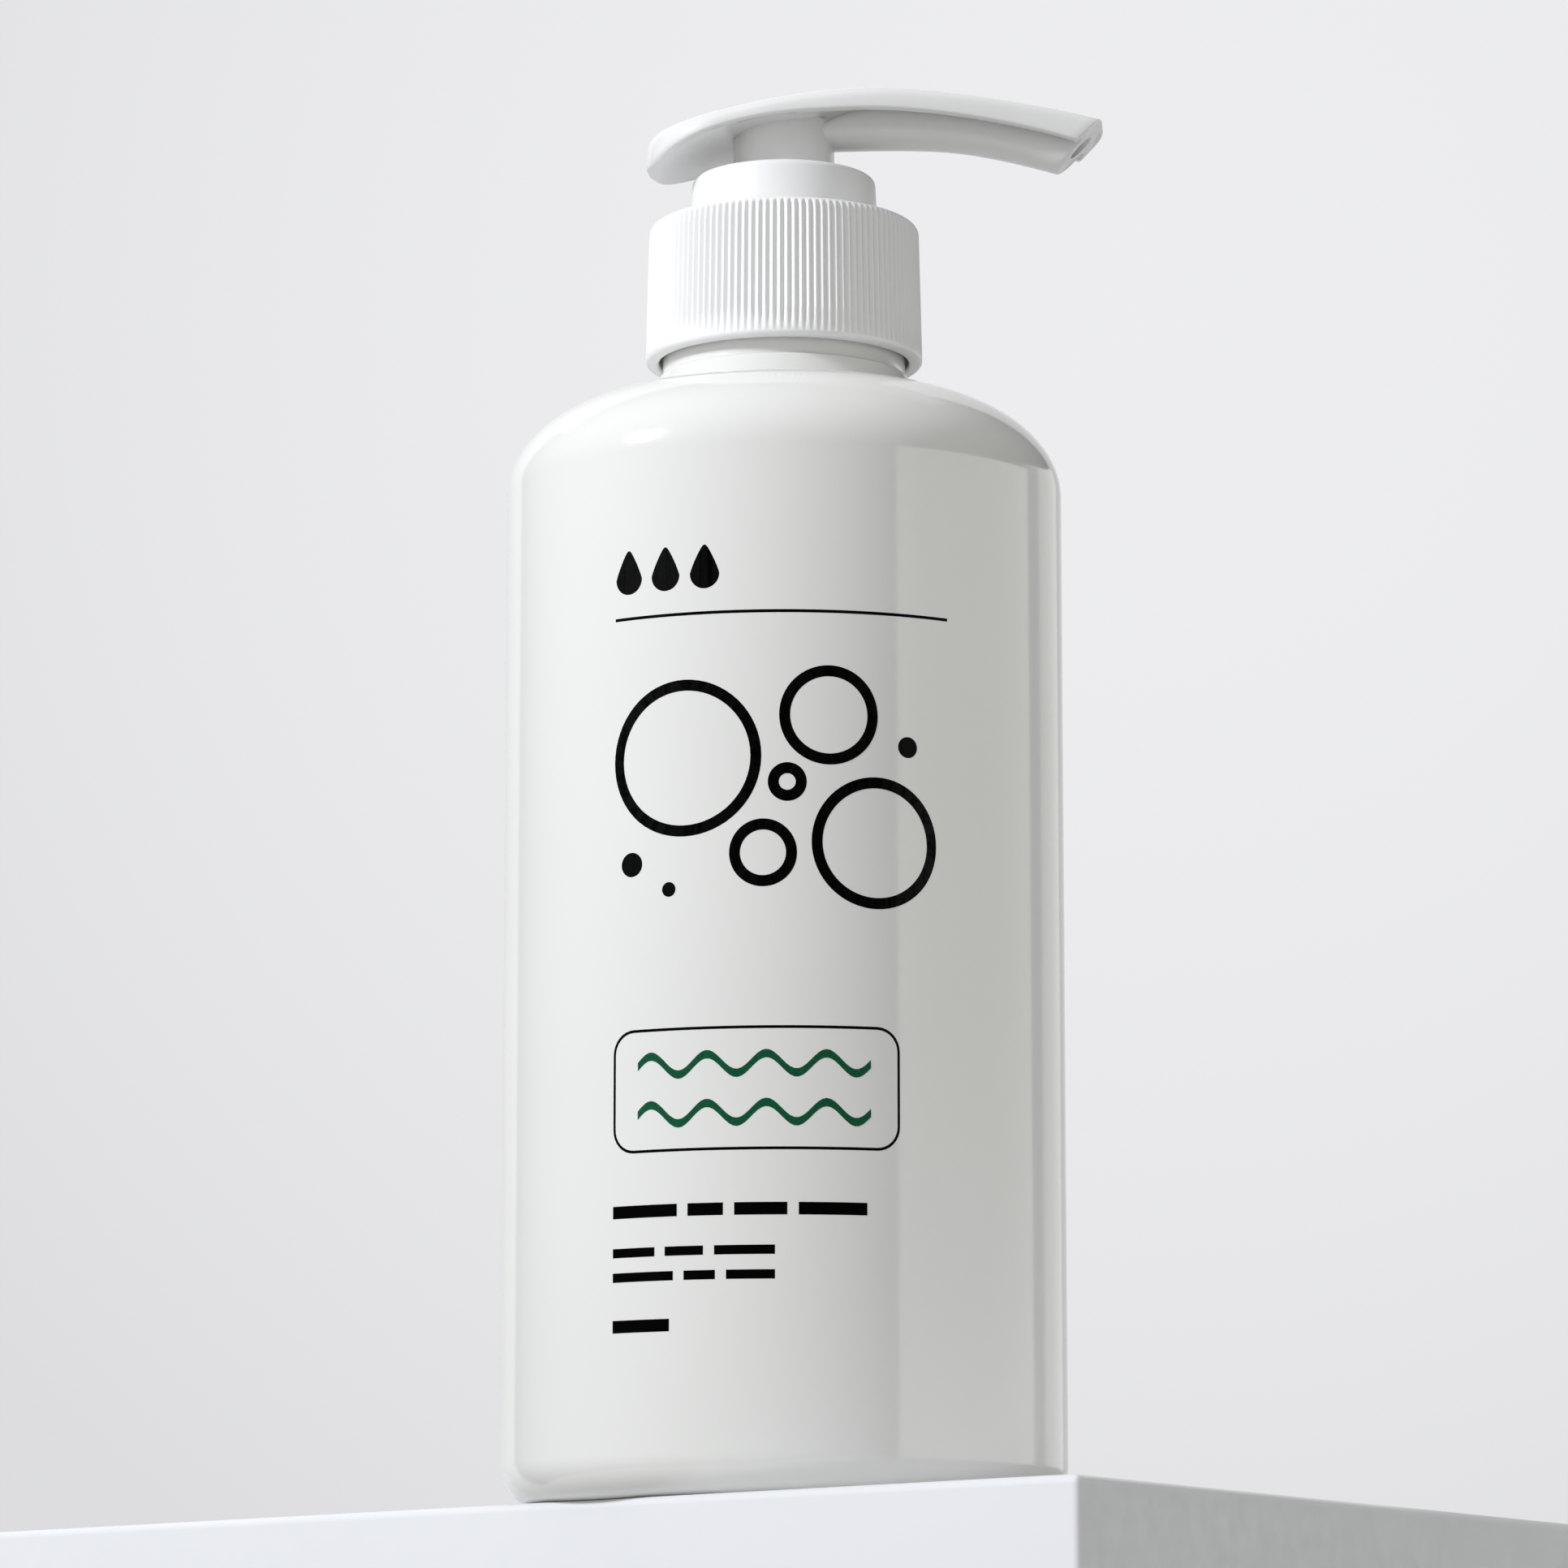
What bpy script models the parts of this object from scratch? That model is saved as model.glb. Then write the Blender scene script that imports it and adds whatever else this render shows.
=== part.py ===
"""Round shampoo bottle with a lock-down lotion pump, shown locked down.

Every piece turns on the bottle's upright axis, so the profiles below are given as
(radius, height) and spun about Z.  The origin is on that axis, on the plane that the
bottle stands on.  The spout points along +X.  All sizes are in metres.
"""

import math

import bmesh
import bpy
from mathutils import Matrix, Vector

# Clearances shared by every fit
SEAT_GAP = 0.0003
SKIRT_CLEARANCE = 0.0004
NECK_BORE_CLEARANCE = 0.00235
THREAD_CLEARANCE = 0.00035
FLANGE_CLEARANCE = 0.0008
STOP_CLEARANCE = 0.0010

# Bottle body
BODY_RADIUS = 0.0360
BODY_WALL = 0.0011
BASE_WALL = 0.0016
HEEL_RADIUS = 0.0050
STANDING_RING_WIDTH = 0.0040
BASE_RECESS = 0.0008
RECESS_RAMP = 0.0015
SHOULDER_START = 0.1300
SHOULDER_RISE = 0.0130

# Bottle neck
NECK_WALL = 0.0022
NECK_HEIGHT = 0.0147
NECK_RING_LEDGE = 0.00225
NECK_RING_HEIGHT = 0.0029

# Screw cap
CAP_RIM_GAP = 0.00205
CAP_WALL = 0.00165
CAP_DRAFT = 0.00045
CAP_TOP_WALL = 0.0015
CAP_EDGE_RADIUS = 0.0012
CAP_RIM_CHAMFER = 0.0003
THREAD_DEPTH = 0.0012
RIB_COUNT = 120
RIB_DEPTH = 0.00033
RIB_FOOT = 0.0011
RIB_HEAD = 0.0004

# Lock collar
COLLAR_HEIGHT = 0.0061
COLLAR_LEDGE = 0.0037
COLLAR_DRAFT = 0.00025
COLLAR_EDGE_RADIUS = 0.0009
COLLAR_TUBE_WALL = 0.0015
COLLAR_TUBE_DROP = 0.0032
GUIDE_HEIGHT = 0.0025

# Pump engine
STROKE = 0.0150
STEM_RADIUS = 0.0040
GASKET_THICKNESS = 0.0015
HOUSING_FLANGE = 0.0019
CUP_WALL = 0.0015
CUP_FLOOR = 0.0020
BARREL_BORE_RADIUS = 0.0065
BARREL_WALL = 0.0015
VENT_RADIUS = 0.0006
PISTON_SHIFT = 0.0012
PISTON_HEIGHT = 0.0055
PISTON_LIP = 0.0014
PISTON_WAIST = 0.0010
POST_RADIUS = 0.0020
POST_ENGAGEMENT = 0.0060
FOOT_HEIGHT = 0.0020
FOOT_MARGIN = 0.0009
SPRING_BOSS = 0.0012
SPRING_LENGTH = 0.0131
SPRING_WIRE_RADIUS = 0.00045
SPRING_MARGIN = 0.0011
SPRING_TURNS = 8
POINTS_PER_TURN = 10
CAGE_HEIGHT = 0.0025
CAGE_HOLE_RADIUS = 0.0014
CAGE_SLOT_WIDTH = 0.0016
BALL_RADIUS = 0.0025
BALL_LIFT = 0.0018
BALL_POCKET_CLEARANCE = 0.0006
SEAT_HOLE_RADIUS = 0.0015
SEAT_WALL = 0.0008

# Dip tube and its socket
DIP_TUBE_RADIUS = 0.0036
DIP_TUBE_WALL = 0.0007
DIP_TUBE_FOOT = 0.0040
DIP_TUBE_CUT_DEG = 35.0
SOCKET_DEPTH = 0.0120
SOCKET_WALL = 0.0012

# Pump head: a crowned shell over a spout duct, on a round skirt
SKIRT_WALL = 0.0023
SKIRT_FLOOR_GAP = 0.0010
HEAD_REAR = -0.0181
HEAD_FRONT = 0.0460
HEAD_WALL = 0.0013
HEAD_CROWN_POWER = 3.2
PAD_CENTRE = -0.0076
PAD_LENGTH = 0.01065
PAD_HALF_WIDTH = 0.01125
HOLLOW_FRONT = 0.0300
HOLLOW_OVERCUT = 0.0060
DUCT_COVER = 0.0004
DUCT_WALL = 0.0017
STEM_SOCKET_DEPTH = 0.0010
TIP_BOTTOM_REACH = 0.0356
TIP_BOTTOM_HEIGHT = 0.00033
TIP_CUT_DEG = 45.0
TOP_LINE = [(-0.0181, 0.0041), (-0.0170, 0.00565), (-0.0145, 0.00655), (-0.0060, 0.0084), (0.0030, 0.0101),
            (0.0120, 0.0109), (0.0200, 0.0106), (0.0300, 0.0092), (0.0400, 0.0072), (0.0460, 0.0057)]
LOWER_EDGE = [(-0.0181, 0.0016), (-0.0160, 0.00165), (-0.0130, 0.00285), (-0.0090, 0.0043), (-0.0020, 0.0060),
              (0.0060, 0.0068), (0.0150, 0.0070), (0.0250, 0.0061), (0.0350, 0.0042), (0.0460, 0.0009)]
HALF_WIDTH = [(-0.0076, 0.01125), (0.0, 0.0110), (0.0100, 0.0101), (0.0200, 0.0087), (0.0300, 0.0071),
              (0.0387, 0.0058), (0.0460, 0.0047)]
DUCT_UNDERSIDE = [(-0.0020, 0.0040), (0.0080, 0.0040), (0.0160, 0.0039), (0.0220, 0.0035), (0.0280, 0.0024),
                  (0.0350, 0.0005), (0.0460, -0.0030)]
DUCT_HALF_WIDTH = [(-0.0020, 0.0038), (0.0120, 0.0038), (0.0240, 0.00365), (0.0360, 0.00335), (0.0460, 0.0031)]

# Sizes that follow from the ones above: radii, from the stem outwards
GUIDE_BORE = STEM_RADIUS + SEAT_GAP
SKIRT_RADIUS = GUIDE_BORE + SKIRT_WALL
COLLAR_BORE = SKIRT_RADIUS + SKIRT_CLEARANCE
COLLAR_TUBE_RADIUS = COLLAR_BORE + COLLAR_TUBE_WALL
COLLAR_RADIUS = COLLAR_TUBE_RADIUS + COLLAR_LEDGE
CUP_BORE = COLLAR_TUBE_RADIUS + SEAT_GAP
CUP_RADIUS = CUP_BORE + CUP_WALL
NECK_BORE = CUP_RADIUS + NECK_BORE_CLEARANCE
NECK_RADIUS = NECK_BORE + NECK_WALL
NECK_RING_RADIUS = NECK_RADIUS + NECK_RING_LEDGE
CAP_BORE = NECK_RADIUS + THREAD_DEPTH + THREAD_CLEARANCE
CAP_RIM_RADIUS = CAP_BORE + CAP_WALL
CAP_TOP_RADIUS = CAP_RIM_RADIUS - CAP_DRAFT
CAP_HOLE = COLLAR_TUBE_RADIUS + SEAT_GAP
FLANGE_RADIUS = CAP_BORE - FLANGE_CLEARANCE
BARREL_RADIUS = BARREL_BORE_RADIUS + BARREL_WALL
PISTON_RADIUS = BARREL_BORE_RADIUS - SEAT_GAP
POST_BORE = POST_RADIUS + SEAT_GAP
SPRING_RADIUS = BARREL_BORE_RADIUS - SPRING_MARGIN - SPRING_WIRE_RADIUS
FOOT_RADIUS = BARREL_BORE_RADIUS - FOOT_MARGIN
SPRING_BOSS_RADIUS = SPRING_RADIUS - SPRING_WIRE_RADIUS - SEAT_GAP
BALL_POCKET = BALL_RADIUS + BALL_POCKET_CLEARANCE
SOCKET_BORE = DIP_TUBE_RADIUS + SEAT_GAP
SOCKET_RADIUS = SOCKET_BORE + SOCKET_WALL

# Heights of the bottle and of what is screwed onto it, from the base upwards
SHOULDER_TOP = SHOULDER_START + SHOULDER_RISE
NECK_RING_TOP = SHOULDER_TOP + NECK_RING_HEIGHT
NECK_TOP = NECK_RING_TOP + NECK_HEIGHT
GASKET_BOTTOM = NECK_TOP + SEAT_GAP
FLANGE_BOTTOM = GASKET_BOTTOM + GASKET_THICKNESS + SEAT_GAP
FLANGE_TOP = FLANGE_BOTTOM + HOUSING_FLANGE
CAP_UNDERSIDE = FLANGE_TOP + SEAT_GAP
CAP_TOP = CAP_UNDERSIDE + CAP_TOP_WALL
CAP_BOTTOM = NECK_RING_TOP + CAP_RIM_GAP
COLLAR_BOTTOM = CAP_TOP + SEAT_GAP
COLLAR_TOP = COLLAR_BOTTOM + COLLAR_HEIGHT

# Heights of the pump engine, from the collar's tube downwards
COLLAR_TUBE_BOTTOM = FLANGE_BOTTOM - COLLAR_TUBE_DROP
GUIDE_TOP = COLLAR_TUBE_BOTTOM + GUIDE_HEIGHT
CUP_BOTTOM = COLLAR_TUBE_BOTTOM - SEAT_GAP
PISTON_TOP = COLLAR_TUBE_BOTTOM - STOP_CLEARANCE - STROKE - PISTON_SHIFT
PISTON_BOTTOM = PISTON_TOP - PISTON_HEIGHT
STEM_BOTTOM = PISTON_TOP + PISTON_SHIFT + SEAT_GAP
STEM_TOP = COLLAR_TOP + STEM_SOCKET_DEPTH - SEAT_GAP
FOOT_TOP = PISTON_BOTTOM - SEAT_GAP
FOOT_BOTTOM = FOOT_TOP - FOOT_HEIGHT
SPRING_TOP = FOOT_BOTTOM - SEAT_GAP
SPRING_BOTTOM = SPRING_TOP - SPRING_LENGTH
CAGE_TOP = SPRING_BOTTOM - SEAT_GAP
CAGE_BOTTOM = CAGE_TOP - CAGE_HEIGHT
BARREL_FLOOR = CAGE_BOTTOM - SEAT_GAP
BALL_CENTRE = CAGE_BOTTOM - SEAT_GAP - BALL_LIFT - BALL_RADIUS
SEAT_APEX = BALL_CENTRE - (BALL_RADIUS + SEAT_GAP) * math.sqrt(2.0)
SOCKET_TOP = SEAT_APEX + SEAT_HOLE_RADIUS - SEAT_WALL
SOCKET_BOTTOM = SOCKET_TOP - SOCKET_DEPTH
BOTTLE_FLOOR = BASE_RECESS + BASE_WALL
DIP_TUBE_TOP = SOCKET_TOP - SEAT_GAP
DIP_TUBE_BOTTOM = BOTTLE_FLOOR + DIP_TUBE_FOOT

# Facets round each turned piece
BOTTLE_STEPS = 48
CAP_STEPS = RIB_COUNT // 2
COLLAR_STEPS = 40
ENGINE_STEPS = 28
STEM_STEPS = 24
HEAD_STATIONS = 22
DUCT_STATIONS = 13
DUCT_POINTS = 16
CROWN_POINTS = 13


def clear_scene():
    """Start from an empty scene."""
    for obj in list(bpy.data.objects):
        bpy.data.objects.remove(obj, do_unlink=True)


def new_collection(name):
    """Add a collection to the scene."""
    collection = bpy.data.collections.new(name)
    bpy.context.scene.collection.children.link(collection)
    return collection


def make_material(name, colour, roughness, metallic=0.0):
    """A Principled material of one colour."""
    material = bpy.data.materials.new(name)
    material.use_nodes = True
    shader = material.node_tree.nodes["Principled BSDF"]
    shader.inputs["Base Color"].default_value = (*colour, 1.0)
    shader.inputs["Roughness"].default_value = roughness
    shader.inputs["Metallic"].default_value = metallic
    return material


def add_object(name, data, collection, material=None, parent=None):
    """Link a mesh or curve as an object, under an empty where one is given."""
    obj = bpy.data.objects.new(name, data)
    collection.objects.link(obj)
    obj.parent = parent
    if material:
        data.materials.append(material)
    return obj


def as_cutter(obj):
    """Mark an object as a tool that shapes others and isn't a piece itself."""
    obj.hide_render = True
    obj.display_type = 'WIRE'
    return obj


def boolean(target, tool, operation='DIFFERENCE'):
    """Cut or join one object with another."""
    modifier = target.modifiers.new(tool.name, 'BOOLEAN')
    modifier.operation = operation
    modifier.object = tool
    modifier.solver = 'EXACT'


def arc(centre, radii, start_deg, end_deg, count):
    """Points on an ellipse's arc in the (radius, height) plane."""
    points = []
    for i in range(count + 1):
        angle = math.radians(start_deg + (end_deg - start_deg) * i / count)
        points.append((centre[0] + radii[0] * math.cos(angle), centre[1] + radii[1] * math.sin(angle)))
    return points


def turned(name, profile, steps, collection, material=None, closed=True):
    """Spin a profile of (radius, height) points about Z."""
    mesh = bpy.data.meshes.new(name)
    vertices = [(radius, 0.0, height) for radius, height in profile]
    edges = [(i, i + 1) for i in range(len(profile) - 1)]
    if closed:
        edges.append((len(profile) - 1, 0))
    mesh.from_pydata(vertices, edges, [])
    obj = add_object(name, mesh, collection, material)
    screw = obj.modifiers.new("spin", 'SCREW')
    screw.axis = 'Z'
    screw.angle = math.tau
    screw.steps = steps
    screw.render_steps = steps
    screw.use_merge_vertices = True
    screw.merge_threshold = 0.00001
    screw.use_smooth_shade = True
    return obj


def box(name, size, matrix, collection, parent=None):
    """A block of the given size, placed by a matrix."""
    bm = bmesh.new()
    bmesh.ops.create_cube(bm, size=1.0, matrix=matrix @ Matrix.Diagonal((*size, 1.0)))
    mesh = bpy.data.meshes.new(name)
    bm.to_mesh(mesh)
    bm.free()
    return add_object(name, mesh, collection, parent=parent)


def rod(name, radius, bottom, top, segments, collection, parent=None):
    """An upright cylinder on the axis."""
    bm = bmesh.new()
    middle = Matrix.Translation((0.0, 0.0, (bottom + top) / 2))
    bmesh.ops.create_cone(bm, cap_ends=True, segments=segments, radius1=radius, radius2=radius,
                          depth=top - bottom, matrix=middle)
    mesh = bpy.data.meshes.new(name)
    bm.to_mesh(mesh)
    bm.free()
    return add_object(name, mesh, collection, parent=parent)


def tube_curve(name, points, radii, resolution, collection, material=None):
    """A solid round bar through points, with its own radius at each and filled ends."""
    curve = bpy.data.curves.new(name, 'CURVE')
    curve.dimensions = '3D'
    curve.bevel_depth = radii[0]
    curve.bevel_resolution = resolution
    curve.use_fill_caps = True
    spline = curve.splines.new('POLY')
    spline.points.add(len(points) - 1)
    for spot, place, radius in zip(spline.points, points, radii):
        spot.co = (*place, 1.0)
        spot.radius = radius / radii[0]
    return add_object(name, curve, collection, material)


def curve_to_mesh(obj, collection, material=None, parent=None):
    """Replace a curve with its mesh, welded into one closed body."""
    bpy.context.view_layer.update()
    evaluated = obj.evaluated_get(bpy.context.evaluated_depsgraph_get())
    mesh = bpy.data.meshes.new_from_object(evaluated)
    name = obj.name
    place = obj.matrix_world.copy()
    bpy.data.objects.remove(obj, do_unlink=True)
    bm = bmesh.new()
    bm.from_mesh(mesh)
    bmesh.ops.remove_doubles(bm, verts=bm.verts, dist=0.00001)
    bmesh.ops.recalc_face_normals(bm, faces=bm.faces)
    bm.to_mesh(mesh)
    bm.free()
    mesh.materials.clear()
    piece = add_object(name, mesh, collection, material, parent)
    piece.matrix_world = place
    return piece


def smooth_line(points):
    """A function that runs smoothly through (distance, value) points."""
    slopes = []
    last = len(points) - 1
    for i in range(last + 1):
        before = points[max(i - 1, 0)]
        after = points[min(i + 1, last)]
        slopes.append((after[1] - before[1]) / (after[0] - before[0]))

    def value(distance):
        i = 0
        while i < last - 1 and distance > points[i + 1][0]:
            i += 1
        span = points[i + 1][0] - points[i][0]
        t = (distance - points[i][0]) / span
        return ((2 * t ** 3 - 3 * t ** 2 + 1) * points[i][1]
                + (t ** 3 - 2 * t ** 2 + t) * span * slopes[i]
                + (3 * t ** 2 - 2 * t ** 3) * points[i + 1][1]
                + (t ** 3 - t ** 2) * span * slopes[i + 1])

    return value


def loft(name, rings, collection, material=None, parent=None):
    """A closed skin through rings of points that have the same count."""
    bm = bmesh.new()
    rows = [[bm.verts.new(point) for point in ring] for ring in rings]
    count = len(rings[0])
    for near, far in zip(rows, rows[1:]):
        for i in range(count):
            j = (i + 1) % count
            bm.faces.new((near[i], near[j], far[j], far[i]))
    bm.faces.new(rows[0])
    bm.faces.new(rows[-1])
    bmesh.ops.recalc_face_normals(bm, faces=bm.faces)
    mesh = bpy.data.meshes.new(name)
    bm.to_mesh(mesh)
    bm.free()
    mesh.shade_smooth()
    mesh.set_sharp_from_angle(angle=math.radians(40.0))
    return add_object(name, mesh, collection, material, parent)


def build_bottle(parts, material):
    """Blown body with a rounded shoulder, an open neck and a shallow push-up base."""
    ring_outer = BODY_RADIUS - HEEL_RADIUS
    ring_inner = ring_outer - STANDING_RING_WIDTH
    panel = ring_inner - RECESS_RAMP
    inner_radius = BODY_RADIUS - BODY_WALL
    profile = [(0.0, BOTTLE_FLOOR), (panel, BOTTLE_FLOOR), (ring_inner, BASE_WALL)]
    heel = (ring_outer, HEEL_RADIUS)
    profile += arc(heel, (inner_radius - ring_outer, HEEL_RADIUS - BASE_WALL), -90, 0, 4)
    inner_shoulder = (inner_radius - NECK_BORE, SHOULDER_RISE - BODY_WALL)
    profile += arc((NECK_BORE, SHOULDER_START), inner_shoulder, 0, 90, 8)
    profile += [(NECK_BORE, NECK_TOP), (NECK_RADIUS, NECK_TOP), (NECK_RADIUS, NECK_RING_TOP)]
    profile += [(NECK_RING_RADIUS, NECK_RING_TOP)]
    shoulder = (BODY_RADIUS - NECK_RING_RADIUS, SHOULDER_RISE)
    profile += arc((NECK_RING_RADIUS, SHOULDER_START), shoulder, 90, 0, 10)
    profile += arc(heel, (HEEL_RADIUS, HEEL_RADIUS), 0, -90, 5)
    profile += [(ring_inner, 0.0), (panel, BASE_RECESS), (0.0, BASE_RECESS)]
    return turned("bottle", profile, BOTTLE_STEPS, parts, material, closed=False)


def build_screw_cap(parts, cutters, material):
    """Ribbed closure: a drafted cup with a hole for the pump, grooved all round."""
    profile = [(CAP_HOLE, CAP_TOP)]
    edge_centre = (CAP_TOP_RADIUS - CAP_EDGE_RADIUS, CAP_TOP - CAP_EDGE_RADIUS)
    profile += arc(edge_centre, (CAP_EDGE_RADIUS, CAP_EDGE_RADIUS), 90, 0, 3)
    profile += [(CAP_RIM_RADIUS, CAP_BOTTOM + CAP_RIM_CHAMFER)]
    profile += [(CAP_RIM_RADIUS - CAP_RIM_CHAMFER, CAP_BOTTOM), (CAP_BORE, CAP_BOTTOM)]
    profile += [(CAP_BORE, CAP_UNDERSIDE), (CAP_HOLE, CAP_UNDERSIDE)]
    cap = turned("screw_cap", profile, CAP_STEPS, parts, material)
    groove_bottom = CAP_BOTTOM + RIB_FOOT
    groove_top = CAP_TOP - RIB_HEAD
    tilt = math.atan2(CAP_DRAFT, CAP_TOP - CAP_BOTTOM)
    facet_middle = math.cos(math.pi / CAP_STEPS)
    bm = bmesh.new()
    for i in range(RIB_COUNT):
        turn = Matrix.Rotation(math.tau * (i + 0.5) / RIB_COUNT, 4, 'Z')
        middle = Vector(((CAP_RIM_RADIUS + CAP_TOP_RADIUS) / 2 * facet_middle, 0.0,
                         (groove_bottom + groove_top) / 2))
        lean = Matrix.Rotation(-tilt, 4, 'Y')
        place = turn @ Matrix.Translation(middle) @ lean
        bmesh.ops.create_cone(bm, cap_ends=True, segments=4, radius1=RIB_DEPTH, radius2=RIB_DEPTH,
                              depth=groove_top - groove_bottom, matrix=place)
    mesh = bpy.data.meshes.new("rib_grooves")
    bm.to_mesh(mesh)
    bm.free()
    grooves = as_cutter(add_object("rib_grooves", mesh, cutters))
    boolean(cap, grooves)
    return cap


def build_neck_gasket(parts, material):
    """Flat washer between the neck's lip and the pump's flange."""
    top = GASKET_BOTTOM + GASKET_THICKNESS
    inner = NECK_BORE + SEAT_GAP
    profile = [(inner, top), (NECK_RADIUS, top), (NECK_RADIUS, GASKET_BOTTOM), (inner, GASKET_BOTTOM)]
    return turned("neck_gasket", profile, ENGINE_STEPS, parts, material)


def build_lock_collar(parts, material):
    """Collar over the cap, with a tube that snaps into the housing and guides the stem."""
    top_radius = COLLAR_RADIUS - COLLAR_DRAFT
    edge_centre = (top_radius - COLLAR_EDGE_RADIUS, COLLAR_TOP - COLLAR_EDGE_RADIUS)
    profile = [(COLLAR_BORE, COLLAR_TOP)]
    profile += arc(edge_centre, (COLLAR_EDGE_RADIUS, COLLAR_EDGE_RADIUS), 90, 0, 4)
    profile += [(COLLAR_RADIUS, COLLAR_BOTTOM), (COLLAR_TUBE_RADIUS, COLLAR_BOTTOM)]
    profile += [(COLLAR_TUBE_RADIUS, COLLAR_TUBE_BOTTOM), (GUIDE_BORE, COLLAR_TUBE_BOTTOM)]
    profile += [(GUIDE_BORE, GUIDE_TOP), (COLLAR_BORE, GUIDE_TOP)]
    return turned("lock_collar", profile, COLLAR_STEPS, parts, material)


def build_pump_housing(parts, cutters, material):
    """Flanged cup, barrel, ball seat and dip-tube socket, moulded in one."""
    profile = [(CUP_BORE, FLANGE_TOP), (FLANGE_RADIUS, FLANGE_TOP), (FLANGE_RADIUS, FLANGE_BOTTOM)]
    profile += [(CUP_RADIUS, FLANGE_BOTTOM), (CUP_RADIUS, CUP_BOTTOM - CUP_FLOOR)]
    profile += [(BARREL_RADIUS, CUP_BOTTOM - 2 * CUP_FLOOR), (BARREL_RADIUS, BARREL_FLOOR)]
    profile += [(SOCKET_RADIUS, BARREL_FLOOR - (BARREL_RADIUS - SOCKET_RADIUS))]
    profile += [(SOCKET_RADIUS, SOCKET_BOTTOM)]
    profile += [(SOCKET_BORE, SOCKET_BOTTOM), (SOCKET_BORE, SOCKET_TOP), (SEAT_HOLE_RADIUS, SOCKET_TOP)]
    profile += [(SEAT_HOLE_RADIUS, SEAT_APEX + SEAT_HOLE_RADIUS), (BALL_POCKET, SEAT_APEX + BALL_POCKET)]
    profile += [(BALL_POCKET, BARREL_FLOOR), (BARREL_BORE_RADIUS, BARREL_FLOOR)]
    profile += [(BARREL_BORE_RADIUS, CUP_BOTTOM), (CUP_BORE, CUP_BOTTOM)]
    housing = turned("pump_housing", profile, ENGINE_STEPS, parts, material)
    vent_height = CUP_BOTTOM - 3 * CUP_FLOOR
    across = Matrix.Translation((0.0, BARREL_RADIUS, vent_height)) @ Matrix.Rotation(math.pi / 2, 4, 'X')
    bm = bmesh.new()
    bmesh.ops.create_cone(bm, cap_ends=True, segments=8, radius1=VENT_RADIUS, radius2=VENT_RADIUS,
                          depth=4 * BARREL_WALL, matrix=across)
    mesh = bpy.data.meshes.new("vent_hole")
    bm.to_mesh(mesh)
    bm.free()
    boolean(housing, as_cutter(add_object("vent_hole", mesh, cutters)))
    return housing


def build_dip_tube(parts, cutters, material):
    """Straight suction tube, cut at a slant so that the floor can't close it."""
    inner = DIP_TUBE_RADIUS - DIP_TUBE_WALL
    profile = [(inner, DIP_TUBE_TOP), (DIP_TUBE_RADIUS, DIP_TUBE_TOP)]
    profile += [(DIP_TUBE_RADIUS, DIP_TUBE_BOTTOM), (inner, DIP_TUBE_BOTTOM)]
    tube = turned("dip_tube", profile, STEM_STEPS, parts, material)
    size = 6 * DIP_TUBE_RADIUS
    rise = DIP_TUBE_RADIUS * math.tan(math.radians(DIP_TUBE_CUT_DEG))
    slant = Matrix.Translation((0.0, 0.0, DIP_TUBE_BOTTOM + rise))
    slant = slant @ Matrix.Rotation(math.radians(DIP_TUBE_CUT_DEG), 4, 'Y')
    slant = slant @ Matrix.Translation((0.0, 0.0, -size / 2))
    boolean(tube, as_cutter(box("slant_cut", (size, size, size), slant, cutters)))
    return tube


def build_ball_cage(parts, cutters, material):
    """Spring seat whose four lugs keep the ball in its pocket and let liquid past."""
    outer = BARREL_BORE_RADIUS - SEAT_GAP
    profile = [(CAGE_HOLE_RADIUS, CAGE_TOP), (outer, CAGE_TOP)]
    profile += [(outer, CAGE_BOTTOM), (CAGE_HOLE_RADIUS, CAGE_BOTTOM)]
    cage = turned("ball_cage", profile, ENGINE_STEPS, parts, material)
    middle = Matrix.Translation((0.0, 0.0, (CAGE_TOP + CAGE_BOTTOM) / 2))
    length = 2 * BALL_POCKET
    for name, size in (("slot_x", (length, CAGE_SLOT_WIDTH)), ("slot_y", (CAGE_SLOT_WIDTH, length))):
        boolean(cage, as_cutter(box(name, (*size, 2 * CAGE_HEIGHT), middle, cutters)))
    return cage


def build_inlet_ball(parts, material):
    """Check-valve ball above its conical seat."""
    bm = bmesh.new()
    centre = Matrix.Translation((0.0, 0.0, BALL_CENTRE))
    bmesh.ops.create_uvsphere(bm, u_segments=16, v_segments=10, radius=BALL_RADIUS, matrix=centre)
    mesh = bpy.data.meshes.new("inlet_ball")
    bm.to_mesh(mesh)
    bm.free()
    mesh.shade_smooth()
    return add_object("inlet_ball", mesh, parts, material)


def build_return_spring(parts, material):
    """Compression spring: one unbroken helix between the ball cage and the plunger's foot."""
    first = SPRING_BOTTOM + SPRING_WIRE_RADIUS
    rise = SPRING_LENGTH - 2 * SPRING_WIRE_RADIUS
    count = SPRING_TURNS * POINTS_PER_TURN
    points = []
    for i in range(count + 1):
        angle = math.tau * i / POINTS_PER_TURN
        points.append(Vector((SPRING_RADIUS * math.cos(angle), SPRING_RADIUS * math.sin(angle),
                              first + rise * i / count)))
    least = min((points[j] - points[i]).length
                for i in range(count + 1)
                for j in range(i + POINTS_PER_TURN // 2, count + 1))
    print(f"return_spring: least gap between turns {1000 * (least - 2 * SPRING_WIRE_RADIUS):.2f} mm")
    coil = tube_curve("return_spring", points, [SPRING_WIRE_RADIUS] * len(points), 1, parts)
    return curve_to_mesh(coil, parts, material)


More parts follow.
